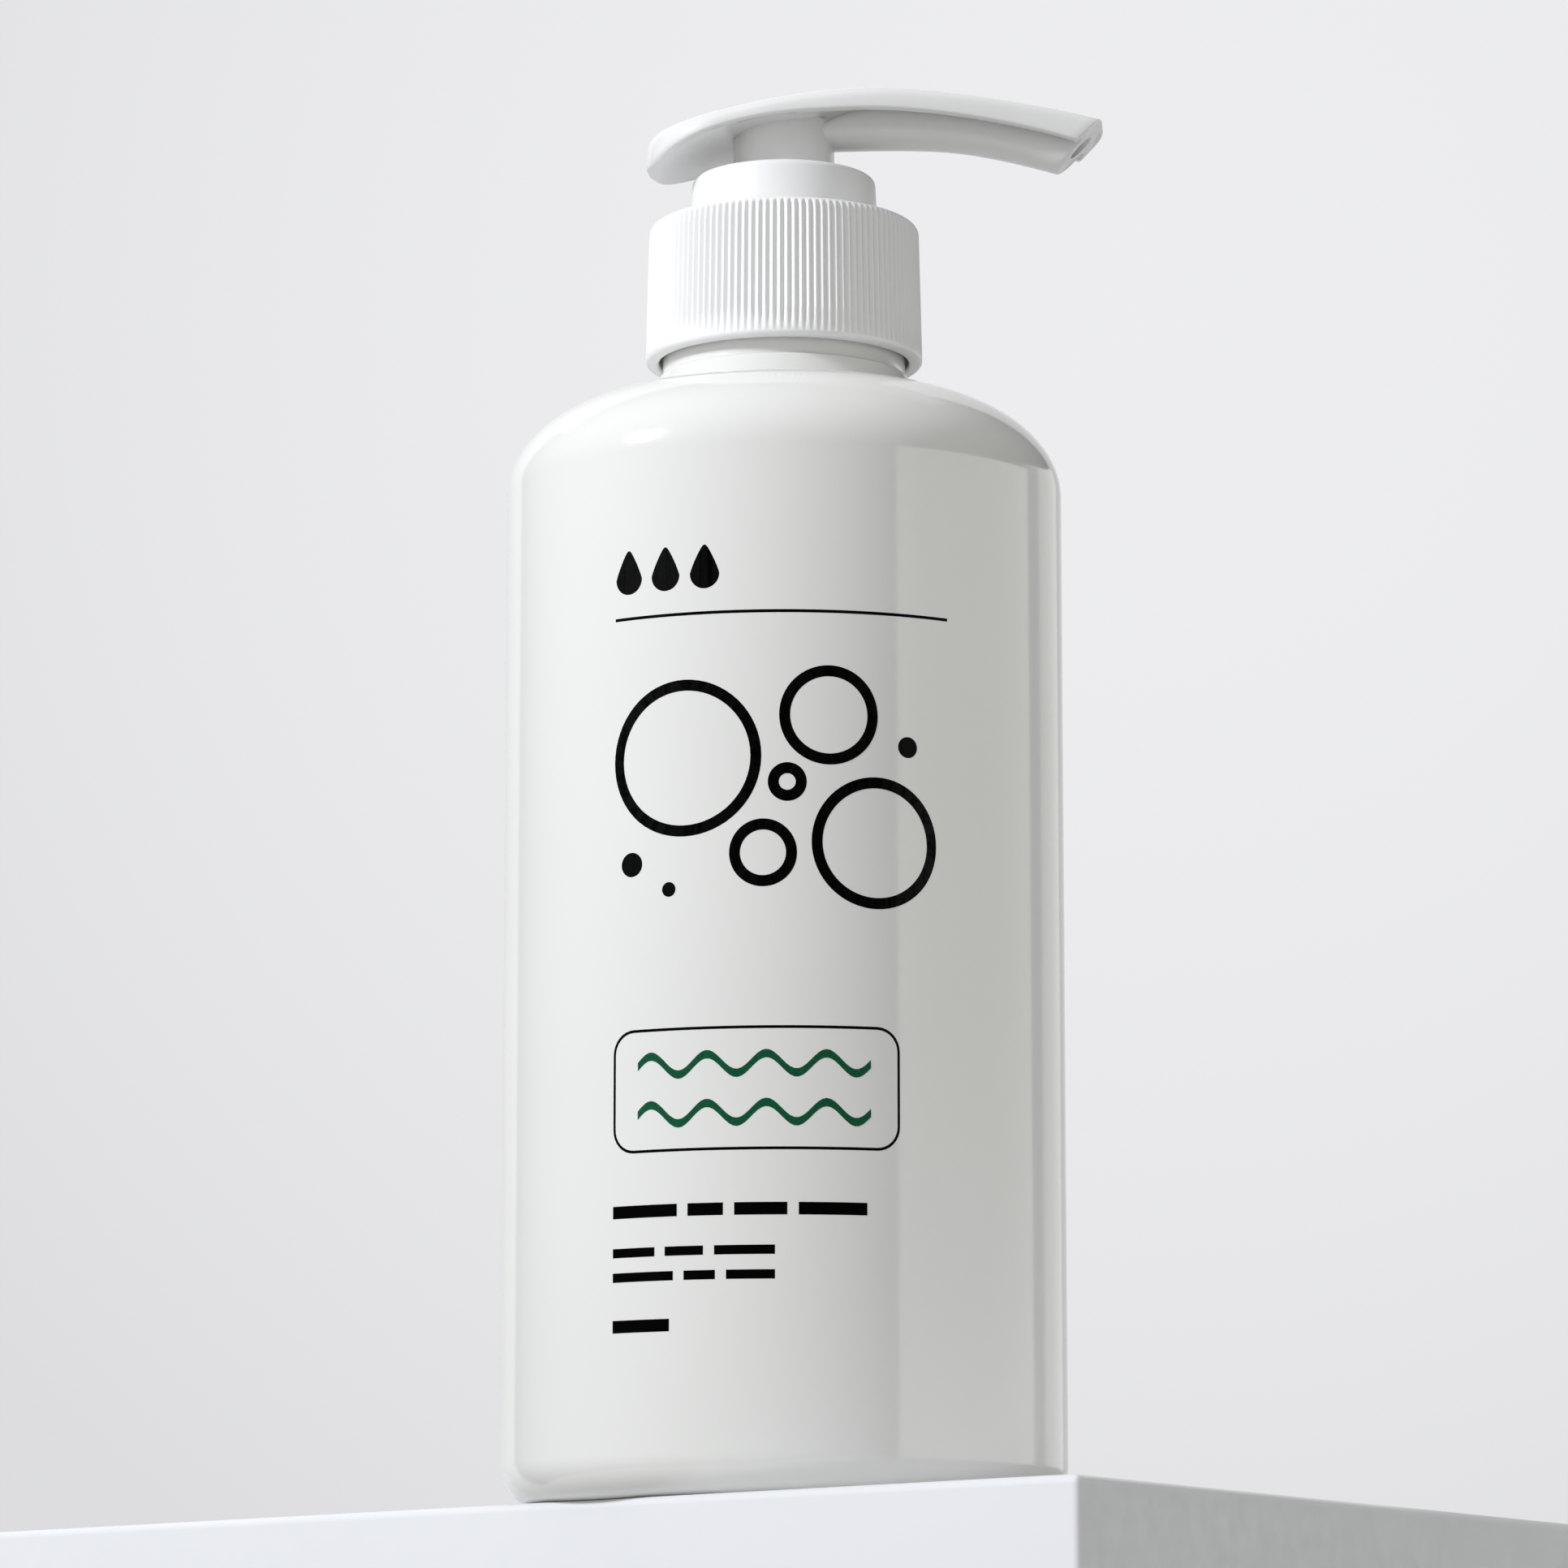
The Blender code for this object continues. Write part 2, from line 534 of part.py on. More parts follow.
def build_plunger(parts, material):
    """Foot that the spring pushes on, with a post that carries the piston and holds the stem."""
    chamfer = SEAT_GAP
    top = STEM_BOTTOM + POST_ENGAGEMENT
    profile = [(0.0, top), (POST_RADIUS - chamfer, top)]
    profile += [(POST_RADIUS, top - chamfer), (POST_RADIUS, FOOT_TOP)]
    profile += [(FOOT_RADIUS, FOOT_TOP), (FOOT_RADIUS, FOOT_BOTTOM), (SPRING_BOSS_RADIUS, FOOT_BOTTOM)]
    profile += [(SPRING_BOSS_RADIUS, FOOT_BOTTOM - SPRING_BOSS), (0.0, FOOT_BOTTOM - SPRING_BOSS)]
    return turned("plunger", profile, ENGINE_STEPS, parts, material, closed=False)


def build_piston(parts, material):
    """Sleeve with a sealing lip at each end, free to slip a little on the plunger's post."""
    waist = PISTON_RADIUS - PISTON_WAIST
    chamfer = PISTON_LIP / 3
    profile = [(POST_BORE, PISTON_TOP), (PISTON_RADIUS - chamfer, PISTON_TOP)]
    profile += [(PISTON_RADIUS, PISTON_TOP - chamfer)]
    profile += [(PISTON_RADIUS, PISTON_TOP - PISTON_LIP), (waist, PISTON_TOP - 1.5 * PISTON_LIP)]
    profile += [(waist, PISTON_BOTTOM + 1.5 * PISTON_LIP), (PISTON_RADIUS, PISTON_BOTTOM + PISTON_LIP)]
    profile += [(PISTON_RADIUS, PISTON_BOTTOM + chamfer), (PISTON_RADIUS - chamfer, PISTON_BOTTOM)]
    profile += [(POST_BORE, PISTON_BOTTOM)]
    return turned("piston", profile, ENGINE_STEPS, parts, material)


def build_stem(parts, material):
    """Tube from the piston up into the head."""
    profile = [(POST_BORE, STEM_TOP), (STEM_RADIUS, STEM_TOP)]
    profile += [(STEM_RADIUS, STEM_BOTTOM), (POST_BORE, STEM_BOTTOM)]
    return turned("stem", profile, STEM_STEPS, parts, material)


def head_ring(reach, half_width, crown, lower):
    """One cross-section of the head: a crowned arch closed by a straight lower edge."""
    ring = []
    for i in range(CROWN_POINTS):
        angle = math.pi * i / (CROWN_POINTS - 1)
        side = math.cos(angle)
        across = math.copysign(abs(side) ** (2 / HEAD_CROWN_POWER), side)
        up = abs(math.sin(angle)) ** (2 / HEAD_CROWN_POWER)
        ring.append((reach, half_width * across, lower + (crown - lower) * up))
    return ring


def duct_ring(reach, middle, size, wall):
    """One cross-section of the spout's duct: an ellipse, set in by the wall for the bore."""
    ring = []
    for i in range(DUCT_POINTS):
        angle = math.tau * i / DUCT_POINTS
        ring.append((reach, (size[0] - wall) * math.cos(angle), middle + (size[1] - wall) * math.sin(angle)))
    return ring


def build_pump_head(parts, cutters, material):
    """Actuator: crowned shell, hollow below, with the spout's duct and a round skirt under it."""
    axis = bpy.data.objects.new("head_axis", None)
    parts.objects.link(axis)
    axis.location = (0.0, 0.0, COLLAR_TOP)
    crown = smooth_line(TOP_LINE)
    lower = smooth_line(LOWER_EDGE)
    front_width = smooth_line(HALF_WIDTH)

    def width(reach):
        if reach < PAD_CENTRE:
            return PAD_HALF_WIDTH * math.sqrt(1.0 - ((PAD_CENTRE - reach) / PAD_LENGTH) ** 2)
        return front_width(reach)

    def stations(rear, front):
        for i in range(HEAD_STATIONS):
            # Closer stations at the rear, where the pad turns over
            share = (i / (HEAD_STATIONS - 1)) ** 1.6
            yield rear + (front - rear) * share

    outer = [head_ring(x, width(x), crown(x), lower(x)) for x in stations(HEAD_REAR, HEAD_FRONT)]
    head = loft("pump_head", outer, parts, material, axis)

    # Hollow under the shell: the same sections, set in by the wall and opened downwards
    hollow = []
    for x in stations(HEAD_REAR + 2 * HEAD_WALL, HOLLOW_FRONT):
        ring = head_ring(x, width(x) - HEAD_WALL, crown(x) - HEAD_WALL, lower(x))
        floor = lower(x) - HOLLOW_OVERCUT
        hollow.append([(x, ring[0][1], floor), *ring, (x, ring[-1][1], floor)])
    boolean(head, as_cutter(loft("head_hollow", hollow, cutters, parent=axis)))

    # Skirt that slides in the collar, reaching up into the shell
    skirt_bottom = GUIDE_TOP + SKIRT_FLOOR_GAP - COLLAR_TOP
    skirt_top = crown(-SKIRT_RADIUS) - SEAT_GAP
    skirt = rod("head_skirt", SKIRT_RADIUS, skirt_bottom, skirt_top, COLLAR_STEPS, cutters, axis)
    boolean(head, as_cutter(skirt), 'UNION')

    # Duct along the spout, filling the height between the shell's crown and the spout's underside
    underside = smooth_line(DUCT_UNDERSIDE)
    duct_width = smooth_line(DUCT_HALF_WIDTH)
    first = DUCT_UNDERSIDE[0][0]
    last = DUCT_UNDERSIDE[-1][0]
    outside = []
    inside = []
    for i in range(DUCT_STATIONS):
        reach = first + (last - first) * i / (DUCT_STATIONS - 1)
        roof = crown(reach) - DUCT_COVER
        middle = (roof + underside(reach)) / 2
        size = (duct_width(reach), (roof - underside(reach)) / 2)
        outside.append(duct_ring(reach, middle, size, 0.0))
        inside.append(duct_ring(reach, middle, size, DUCT_WALL))
    duct = loft("duct", outside, cutters, parent=axis)
    bore = loft("duct_bore", inside, cutters, parent=axis)
    boolean(head, as_cutter(duct), 'UNION')

    # Slanted end of the spout
    size = HEAD_FRONT - HEAD_REAR
    slant = Matrix.Translation((TIP_BOTTOM_REACH, 0.0, TIP_BOTTOM_HEIGHT))
    slant = slant @ Matrix.Rotation(math.radians(TIP_CUT_DEG), 4, 'Y')
    slant = slant @ Matrix.Translation((size / 2, 0.0, 0.0))
    boolean(head, as_cutter(box("tip_cut", (size, size, size), slant, cutters, axis)))

    # Way for the liquid: stem socket, riser and duct
    socket_bottom = skirt_bottom - SKIRT_WALL
    socket = rod("stem_socket", GUIDE_BORE, socket_bottom, STEM_SOCKET_DEPTH, STEM_STEPS, cutters, axis)
    start_middle = (crown(first) - DUCT_COVER + underside(first)) / 2
    riser_radius = duct_width(first) - DUCT_WALL
    riser = rod("riser", riser_radius, 0.0, start_middle, STEM_STEPS, cutters, axis)
    for tool in (socket, riser, bore):
        boolean(head, as_cutter(tool))
    return head


def build():
    """Make every piece."""
    clear_scene()
    parts = new_collection("shampoo_bottle")
    cutters = new_collection("cutters")
    white_gloss = (0.83, 0.83, 0.82)
    white_satin = (0.80, 0.80, 0.79)
    natural = (0.72, 0.73, 0.72)
    build_bottle(parts, make_material("white_bottle", white_gloss, 0.18))
    build_screw_cap(parts, cutters, make_material("white_cap", white_satin, 0.35))
    build_neck_gasket(parts, make_material("gasket_foam", natural, 0.7))
    build_lock_collar(parts, make_material("white_collar", white_satin, 0.3))
    build_pump_housing(parts, cutters, make_material("natural_housing", natural, 0.4))
    build_dip_tube(parts, cutters, make_material("natural_tube", natural, 0.35))
    build_ball_cage(parts, cutters, make_material("natural_cage", natural, 0.45))
    build_inlet_ball(parts, make_material("ball_steel", (0.62, 0.62, 0.63), 0.15, 1.0))
    build_return_spring(parts, make_material("spring_steel", (0.56, 0.56, 0.57), 0.25, 1.0))
    build_plunger(parts, make_material("natural_plunger", natural, 0.4))
    build_piston(parts, make_material("piston_polyethylene", natural, 0.5))
    build_stem(parts, make_material("white_stem", white_satin, 0.35))
    build_pump_head(parts, cutters, make_material("white_head", white_satin, 0.3))
    bpy.context.view_layer.update()


build()
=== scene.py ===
# %% [markdown]
# A round pump bottle, from CAD frame to finished picture.
# The CAD model already says where every piece is and how it moves, so this lesson
# only gives the pieces their looks. It keeps to one idea: most of the object was
# made on round tools, so most pieces are an outline that is spun about one axis.

# %% Load the CAD frame
import math

import bmesh
import bpy
from mathutils import Matrix, Vector


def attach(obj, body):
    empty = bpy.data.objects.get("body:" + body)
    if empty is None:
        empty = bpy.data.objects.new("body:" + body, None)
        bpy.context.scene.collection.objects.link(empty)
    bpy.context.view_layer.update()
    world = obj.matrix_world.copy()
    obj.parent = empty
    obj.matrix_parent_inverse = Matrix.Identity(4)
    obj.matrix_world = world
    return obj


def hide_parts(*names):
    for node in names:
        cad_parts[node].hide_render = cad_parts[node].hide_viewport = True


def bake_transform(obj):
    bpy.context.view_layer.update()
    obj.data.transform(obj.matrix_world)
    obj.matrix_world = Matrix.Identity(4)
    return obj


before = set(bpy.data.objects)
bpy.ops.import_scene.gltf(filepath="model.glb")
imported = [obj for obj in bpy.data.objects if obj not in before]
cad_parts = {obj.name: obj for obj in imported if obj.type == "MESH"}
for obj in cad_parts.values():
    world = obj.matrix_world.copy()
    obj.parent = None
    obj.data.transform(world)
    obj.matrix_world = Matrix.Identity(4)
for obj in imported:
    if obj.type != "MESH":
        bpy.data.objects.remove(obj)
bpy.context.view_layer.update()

# %% [markdown]
# Colours are easiest to pick as the hex values that a screen shows. Blender's shaders
# want linear light, so one function turns a hex value into that.

# %% Colours
def linear(hex_colour):
    """An sRGB hex colour as the linear RGBA that a shader socket takes."""
    channels = [int(hex_colour[i:i + 2], 16) / 255 for i in (0, 2, 4)]
    light = [c / 12.92 if c <= 0.04045 else ((c + 0.055) / 1.055) ** 2.4 for c in channels]
    return (*light, 1.0)


print("mid grey 808080 is", round(linear("808080")[0], 3), "in linear light")

# %% [markdown]
# A material is a small graph of nodes. One helper adds a node, fills in its settings
# and joins its links, so that each graph below reads as a short list. A setting goes
# to the input socket of that name or number, or else to the node's own field.

# %% One helper for shader nodes
def add_node(tree, kind, settings=None, links=None):
    """Add a node with its settings and the links into it."""
    node = tree.nodes.new(kind)
    for name, value in (settings or {}).items():
        if isinstance(name, int) or name in node.inputs:
            node.inputs[name].default_value = value
        else:
            setattr(node, name, value)
    for name, socket in (links or {}).items():
        tree.links.new(socket, node.inputs[name])
    return node


# %% [markdown]
# Moulded plastic is never one flat colour. The pigment drifts a little over some
# centimetres, the gloss changes where the tool was polished or where hands have
# been, and the skin is never quite level. Two noise patterns carry all of that: a
# broad one for pigment and level, and a fine one for gloss and grain. Both read
# Object coordinates, so their sizes are real millimetres and they stay on the piece.

# %% A moulded skin
def moulded_skin(name, shades, gloss, drift_mm, drift_height_mm, grain_mm, grain_height_mm,
                 **sockets):
    """A skin whose shade drifts, whose roughness varies and whose surface waves a little."""
    material = bpy.data.materials.new(name)
    material.use_nodes = True
    tree = material.node_tree
    shader = tree.nodes["Principled BSDF"]
    for socket, value in sockets.items():
        shader.inputs[socket.replace("_", " ")].default_value = value
    place = add_node(tree, "ShaderNodeTexCoord").outputs["Object"]
    drift = add_node(tree, "ShaderNodeTexNoise", {"Scale": 1000 / drift_mm, "Detail": 1.5},
                     {"Vector": place})
    grain = add_node(tree, "ShaderNodeTexNoise", {"Scale": 1000 / grain_mm, "Detail": 3.0},
                     {"Vector": place})
    tint = add_node(tree, "ShaderNodeMix",
                    {"data_type": "RGBA", 6: linear(shades[0]), 7: linear(shades[1])},
                    {0: drift.outputs["Fac"]})
    rough = add_node(tree, "ShaderNodeMapRange",
                     {"From Min": 0.3, "From Max": 0.7, "To Min": gloss[0], "To Max": gloss[1]},
                     {"Value": grain.outputs["Fac"]})
    waves = add_node(tree, "ShaderNodeBump", {"Distance": drift_height_mm / 1000},
                     {"Height": drift.outputs["Fac"]})
    skin = add_node(tree, "ShaderNodeBump", {"Distance": grain_height_mm / 1000},
                    {"Height": grain.outputs["Fac"], "Normal": waves.outputs["Normal"]})
    tree.links.new(tint.outputs[2], shader.inputs["Base Color"])
    tree.links.new(rough.outputs["Result"], shader.inputs["Roughness"])
    tree.links.new(skin.outputs["Normal"], shader.inputs["Normal"])
    print("material", name)
    return material


# %% [markdown]
# Every finished mesh goes through the same last steps: doubles merged, normals
# made to agree, smooth shading with the real creases kept, and then a ride on the
# CAD body that moves it.

# %% Finishing a piece
SAME_PLACE = 0.000001


def cleaned(bm):
    """The bmesh with its doubles merged and its normals made to agree."""
    bmesh.ops.remove_doubles(bm, verts=bm.verts, dist=SAME_PLACE)
    bmesh.ops.recalc_face_normals(bm, faces=bm.faces)
    return bm


def scene_object(bm, name, material=None, crease_deg=None):
    """Put a bmesh into the scene. With a crease angle it is shaded smooth up to its creases."""
    mesh = bpy.data.meshes.new(name)
    bm.to_mesh(mesh)
    bm.free()
    if crease_deg:
        mesh.shade_smooth()
        mesh.set_sharp_from_angle(angle=math.radians(crease_deg))
    if material:
        mesh.materials.append(material)
    made = bpy.data.objects.new(name, mesh)
    bpy.context.scene.collection.objects.link(made)
    return made


def finish_piece(bm, name, material, body, stands_for=None, crease_deg=35.0):
    """Turn a bmesh into a shown piece that rides on a CAD body."""
    piece = scene_object(cleaned(bm), name, material, crease_deg)
    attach(piece, body)
    if stands_for:
        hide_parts(stands_for)
    triangles = sum(len(p.vertices) - 2 for p in piece.data.polygons)
    print(f"piece {name}: {triangles} triangles, rides on {body}")


# %% [markdown]
# A turned outline is easiest to write as its few corners, each with the radius that
# the tool left there. The helper below turns such corners into a smooth line, and
# Blender's spin operator carries the line once round the bottle's axis. With a lift
# at each step, the same operator winds a thread or a spring.

# %% Outlines and spinning
def rounded(corners, segments=6):
    """Outline through (radius, height, fillet) corners. A fillet above zero becomes an arc."""
    outline = []
    for i, (radius, height, fillet) in enumerate(corners):
        here = Vector((radius, height))
        if fillet == 0:
            outline.append(here)
            continue
        back = (Vector(corners[i - 1][:2]) - here).normalized()
        ahead = (Vector(corners[(i + 1) % len(corners)][:2]) - here).normalized()
        half = back.angle(ahead) / 2
        centre = here + (back + ahead).normalized() * fillet / math.sin(half)
        first = (here + back * fillet / math.tan(half) - centre).normalized()
        last = (here + ahead * fillet / math.tan(half) - centre).normalized()
        outline += [centre + fillet * first.slerp(last, k / segments) for k in range(segments + 1)]
    return outline


def quarter(centre, size, start_deg, end_deg, segments):
    """Points on part of an ellipse in the (radius, height) plane."""
    step = (end_deg - start_deg) / segments
    angles = [math.radians(start_deg + step * k) for k in range(segments + 1)]
    return [Vector((centre[0] + size[0] * math.cos(a), centre[1] + size[1] * math.sin(a)))
            for a in angles]


def sweep(bm, geom, angle, steps, lift=0.0, merge=False):
    """Spin geometry about the upright axis, with a lift at each step where one is given."""
    bmesh.ops.spin(bm, geom=geom, cent=(0, 0, 0), axis=(0, 0, 1), dvec=(0, 0, lift), angle=angle,
                   steps=steps, use_merge=merge, use_normal_flip=False, use_duplicate=False)


def spun(outline, steps, closed=True):
    """Spin an outline of (radius, height) points all the way round the upright axis."""
    bm = bmesh.new()
    verts = [bm.verts.new((point[0], 0.0, point[1])) for point in outline]
    edges = [bm.edges.new(pair) for pair in zip(verts, verts[1:])]
    if closed:
        edges.append(bm.edges.new((verts[-1], verts[0])))
    sweep(bm, verts + edges, math.tau, steps, merge=True)
    return bm


def off_axis(vert):
    """A vertex's distance from the upright axis."""
    return math.hypot(vert.co.x, vert.co.y)


def share_of(value, start, length):
    """How far a value has come along a stretch, from 0 to 1."""
    return min(max((value - start) / length, 0.0), 1.0)


# %% [markdown]
# The bottle is blown from white PET. PET comes out of a polished mould with a skin
# almost like glass, so it mirrors the studio softly. The wall isn't perfectly
# level: broad swells of a few hundredths of a millimetre bend the reflections.

# %% Blown white PET
blown_pet = moulded_skin("white_PET_blown_gloss", ("EBEBE8", "E7E7E4"), (0.08, 0.14),
                         drift_mm=28.0, drift_height_mm=0.03,
                         grain_mm=1.2, grain_height_mm=0.0006, IOR=1.575)

# %% [markdown]
# The body is one thin-walled shell. Its outline starts at the middle of the base,
# where blowing leaves the little gate spot, runs over the push-up panel, the
# standing ring and the heel, up the straight wall, over the shoulder, the ring below
# the neck and the bead that the cap closes over, and comes back down the inside. A
# lathe-like spin is how the real mould was cut, so it is the natural way to make it.
# The wall stands 0.02 mm inside the CAD size, which leaves room for the film of ink
# that is printed on it. Sizes are in metres.

# %% The blown body
BODY_RADIUS = 0.03598
WALL = 0.0011
INSIDE_RADIUS = BODY_RADIUS - WALL
GATE_RADIUS, GATE_HEIGHT = 0.0013, 0.0005
PANEL_RADIUS, PANEL_HEIGHT = 0.0252, 0.0008
STAND_INNER, STAND_OUTER, HEEL = 0.0270, 0.0310, 0.0050
FLOOR_LOW, FLOOR_HIGH = 0.0016, 0.0024
SHOULDER_START, SHOULDER_TOP = 0.1300, 0.1430
NECK_RADIUS, NECK_BORE, NECK_TOP = 0.01485, 0.01265, 0.1606
RING_RADIUS, RING_LIP, RING_TOP = 0.0171, 0.0163, 0.1461
BEAD_RADIUS, BEAD_TOP = 0.0158, 0.1486

base = rounded([(0.0, GATE_HEIGHT, 0), (GATE_RADIUS, GATE_HEIGHT, 0.00015),
                (GATE_RADIUS + 0.0002, PANEL_HEIGHT, 0.0001), (PANEL_RADIUS, PANEL_HEIGHT, 0.0008),
                (STAND_INNER, 0.0, 0.0007), (STAND_OUTER, 0.0, 0)])
heel_and_wall = quarter((STAND_OUTER, HEEL), (BODY_RADIUS - STAND_OUTER, HEEL), -90, 0, 12)
heel_and_wall += [Vector((BODY_RADIUS, height)) for height in (0.045, 0.0875)]
shoulder = quarter((RING_RADIUS, SHOULDER_START),
                   (BODY_RADIUS - RING_RADIUS, SHOULDER_TOP - SHOULDER_START), 0, 89, 28)
neck = rounded([(RING_RADIUS + 0.001, SHOULDER_TOP, 0), (RING_RADIUS, SHOULDER_TOP, 0.0003),
                (RING_LIP, RING_TOP, 0.0005), (BEAD_RADIUS, RING_TOP, 0.0002),
                (BEAD_RADIUS, BEAD_TOP, 0.0003), (NECK_RADIUS, BEAD_TOP + 0.0006, 0.0002),
                (NECK_RADIUS, NECK_TOP, 0.0004), (NECK_BORE, NECK_TOP, 0.0004),
                (NECK_BORE, SHOULDER_TOP - WALL, 0)])[1:-1]
inside = quarter((NECK_BORE, SHOULDER_START),
                 (INSIDE_RADIUS - NECK_BORE, SHOULDER_TOP - WALL - SHOULDER_START), 90, 0, 16)
inside += quarter((STAND_OUTER, HEEL), (INSIDE_RADIUS - STAND_OUTER, HEEL - FLOOR_LOW), 0, -90, 6)
inside += [Vector((STAND_INNER, FLOOR_LOW)), Vector((PANEL_RADIUS + 0.0003, FLOOR_HIGH)),
           Vector((0.0, FLOOR_HIGH))]
body = spun(base + heel_and_wall + shoulder + neck + inside, 192, closed=False)
finish_piece(body, "blown_body", blown_pet, "bottle", "bottle")

# %% [markdown]
# A screw thread is the same idea with a lift. The bead fades in and out at its ends,
# as a real thread does so that it starts without a snag, and its root is sunk a
# little into the wall so that no gap shows. The cap turns 4.233 mm per turn on this
# thread.

# %% Threads
PITCH = 0.0127 / 3
STEPS_PER_TURN = 72
THREAD_START = 0.1500
RUN_IN = 0.25 * PITCH
SUNK = 0.0001


def thread(root, crest, start_height, turns, root_width, crest_width):
    """A helical bead between two radii, with a run-in at both ends."""
    bm = bmesh.new()
    section = [(root, -root_width / 2), (crest, -crest_width / 2),
               (crest, crest_width / 2), (root, root_width / 2)]
    verts = [bm.verts.new((r, 0.0, start_height + z)) for r, z in section]
    edges = [bm.edges.new((verts[i], verts[(i + 1) % 4])) for i in range(4)]
    sweep(bm, verts + edges, turns * math.tau, int(turns * STEPS_PER_TURN), PITCH / STEPS_PER_TURN)
    top = start_height + turns * PITCH
    for vert in bm.verts:
        radius = off_axis(vert)
        share = share_of(min(vert.co.z - start_height, top - vert.co.z), 0.0, RUN_IN)
        grown = root + (radius - root) * share
        vert.co.x *= grown / radius
        vert.co.y *= grown / radius
    bmesh.ops.holes_fill(bm, edges=[e for e in bm.edges if e.is_boundary], sides=4)
    return bm


neck_thread = thread(NECK_RADIUS - SUNK, 0.01595, THREAD_START, turns=1.6,
                     root_width=0.0020, crest_width=0.0009)
finish_piece(neck_thread, "neck_thread", blown_pet, "bottle",
             crease_deg=50)

# %% [markdown]
# The closure, collar, head and stem are injection-moulded polypropylene. It is a
# little softer and duller than PET, with a faint orange-peel skin and a wider,
# milkier highlight. The cap's tool was left finer than matt and coarser than gloss,
# and the head's tool was polished.

# %% Moulded white polypropylene
cap_polypropylene = moulded_skin("white_polypropylene_satin", ("F0F0F0", "ECECEC"), (0.34, 0.44),
                                 drift_mm=15.0, drift_height_mm=0.006,
                                 grain_mm=0.5, grain_height_mm=0.002, IOR=1.49)
smooth_polypropylene = moulded_skin("white_polypropylene_polished", ("EAEAE9", "E5E5E4"),
                                    (0.12, 0.20), drift_mm=12.0, drift_height_mm=0.008,
                                    grain_mm=0.8, grain_height_mm=0.0012, IOR=1.49)

# %% [markdown]
# The cap carries 120 upright ribs for wet fingers. They could be 120 copies of a
# small bar, but the real ones were cut into the mould as grooves. So the cap is
# spun with six points to a rib, and each point of the outer skin is then pulled in
# where a groove runs. A groove can't reach deeper than its own depth below the
# cone of the wall, so it runs out by itself over the rounded top edge and leaves
# the scalloped ends that the real ribs have. Below them a plain band stays.

# %% The ribbed cap
CAP_BOTTOM, CAP_CEILING, CAP_TOP = 0.14795, 0.1649, 0.1664
CAP_RIM, CAP_SHOULDER, CAP_MOUTH, CAP_BORE = 0.01805, 0.0176, 0.0162, 0.0164
CAP_HOLE = 0.0088
CAP_SKIN = 0.0171
LONG_EDGE = 0.01
RIBS, POINTS_PER_RIB = 120, 6
RIB_DEPTH, RIB_FOOT, RIB_RUN_OUT = 0.00036, 0.1495, 0.0004

cap_outline = rounded([(CAP_HOLE, CAP_TOP, 0.0003), (CAP_SHOULDER, CAP_TOP, 0.0012),
                       (CAP_RIM, CAP_BOTTOM, 0.0007), (CAP_MOUTH, CAP_BOTTOM, 0.0004),
                       (CAP_BORE, CAP_BOTTOM + 0.0012, 0.0003), (CAP_BORE, CAP_CEILING, 0.0005),
                       (CAP_HOLE, CAP_CEILING, 0.0002)], 8)
cap = spun(cap_outline, RIBS * POINTS_PER_RIB)
skin = [e for e in cap.edges if abs(e.verts[0].co.z - e.verts[1].co.z) > LONG_EDGE
        and off_axis(e.verts[0]) > CAP_SKIN]
bmesh.ops.subdivide_edges(cap, edges=skin, cuts=14, use_grid_fill=True)
draft = (CAP_RIM - CAP_SHOULDER) / (CAP_TOP - CAP_BOTTOM)
for vert in cap.verts:
    radius = off_axis(vert)
    wall_here = CAP_RIM - draft * (vert.co.z - CAP_BOTTOM)
    groove = 0.5 - 0.5 * math.cos(RIBS * math.atan2(vert.co.y, vert.co.x))
    begun = share_of(vert.co.z, RIB_FOOT, RIB_RUN_OUT)
    pulled = min(radius, wall_here - RIB_DEPTH * groove * begun)
    vert.co.x *= pulled / radius
    vert.co.y *= pulled / radius
finish_piece(cap, "ribbed_cap", cap_polypropylene, "cap", "screw_cap", crease_deg=60)
cap_thread = thread(CAP_BORE + SUNK, 0.0153, THREAD_START + 0.5 * PITCH, turns=1.5,
                    root_width=0.0018, crest_width=0.0008)
finish_piece(cap_thread, "cap_thread", cap_polypropylene, "cap",
             crease_deg=50)

# %% [markdown]
# The lock collar sits on the cap and its tube goes down through the cap's hole, where
# it guides the stem. It is a plain turned shape, so its charm is in its edges: a
# soft rounded rim on top and a crisp foot where it meets the cap.

# %% The lock collar
COLLAR_TOP, COLLAR_FOOT, TUBE_FOOT, GUIDE_TOP = 0.1728, 0.1667, 0.1595, 0.1620
COLLAR_RADIUS, COLLAR_BORE, TUBE_RADIUS, GUIDE_BORE = 0.0122, 0.0070, 0.0085, 0.0043

collar_outline = rounded([(COLLAR_BORE, COLLAR_TOP, 0.0003),
                          (COLLAR_RADIUS - 0.00025, COLLAR_TOP, 0.0009),
                          (COLLAR_RADIUS, COLLAR_FOOT, 0.0002), (TUBE_RADIUS, COLLAR_FOOT, 0.0002),
                          (TUBE_RADIUS, TUBE_FOOT, 0.0003), (GUIDE_BORE, TUBE_FOOT, 0.0002),
                          (GUIDE_BORE, GUIDE_TOP, 0.0002), (COLLAR_BORE, GUIDE_TOP, 0.0003)])
finish_piece(spun(collar_outline, 128), "collar_shell", cap_polypropylene, "pump_body",
             "lock_collar")

# %% [markdown]
# The stem shows only when the head comes up, as a plain tube with eased ends.

# %% The stem
STEM_RADIUS, STEM_BORE, STEM_FOOT, STEM_TOP = 0.0040, 0.0023, 0.1438, 0.1735

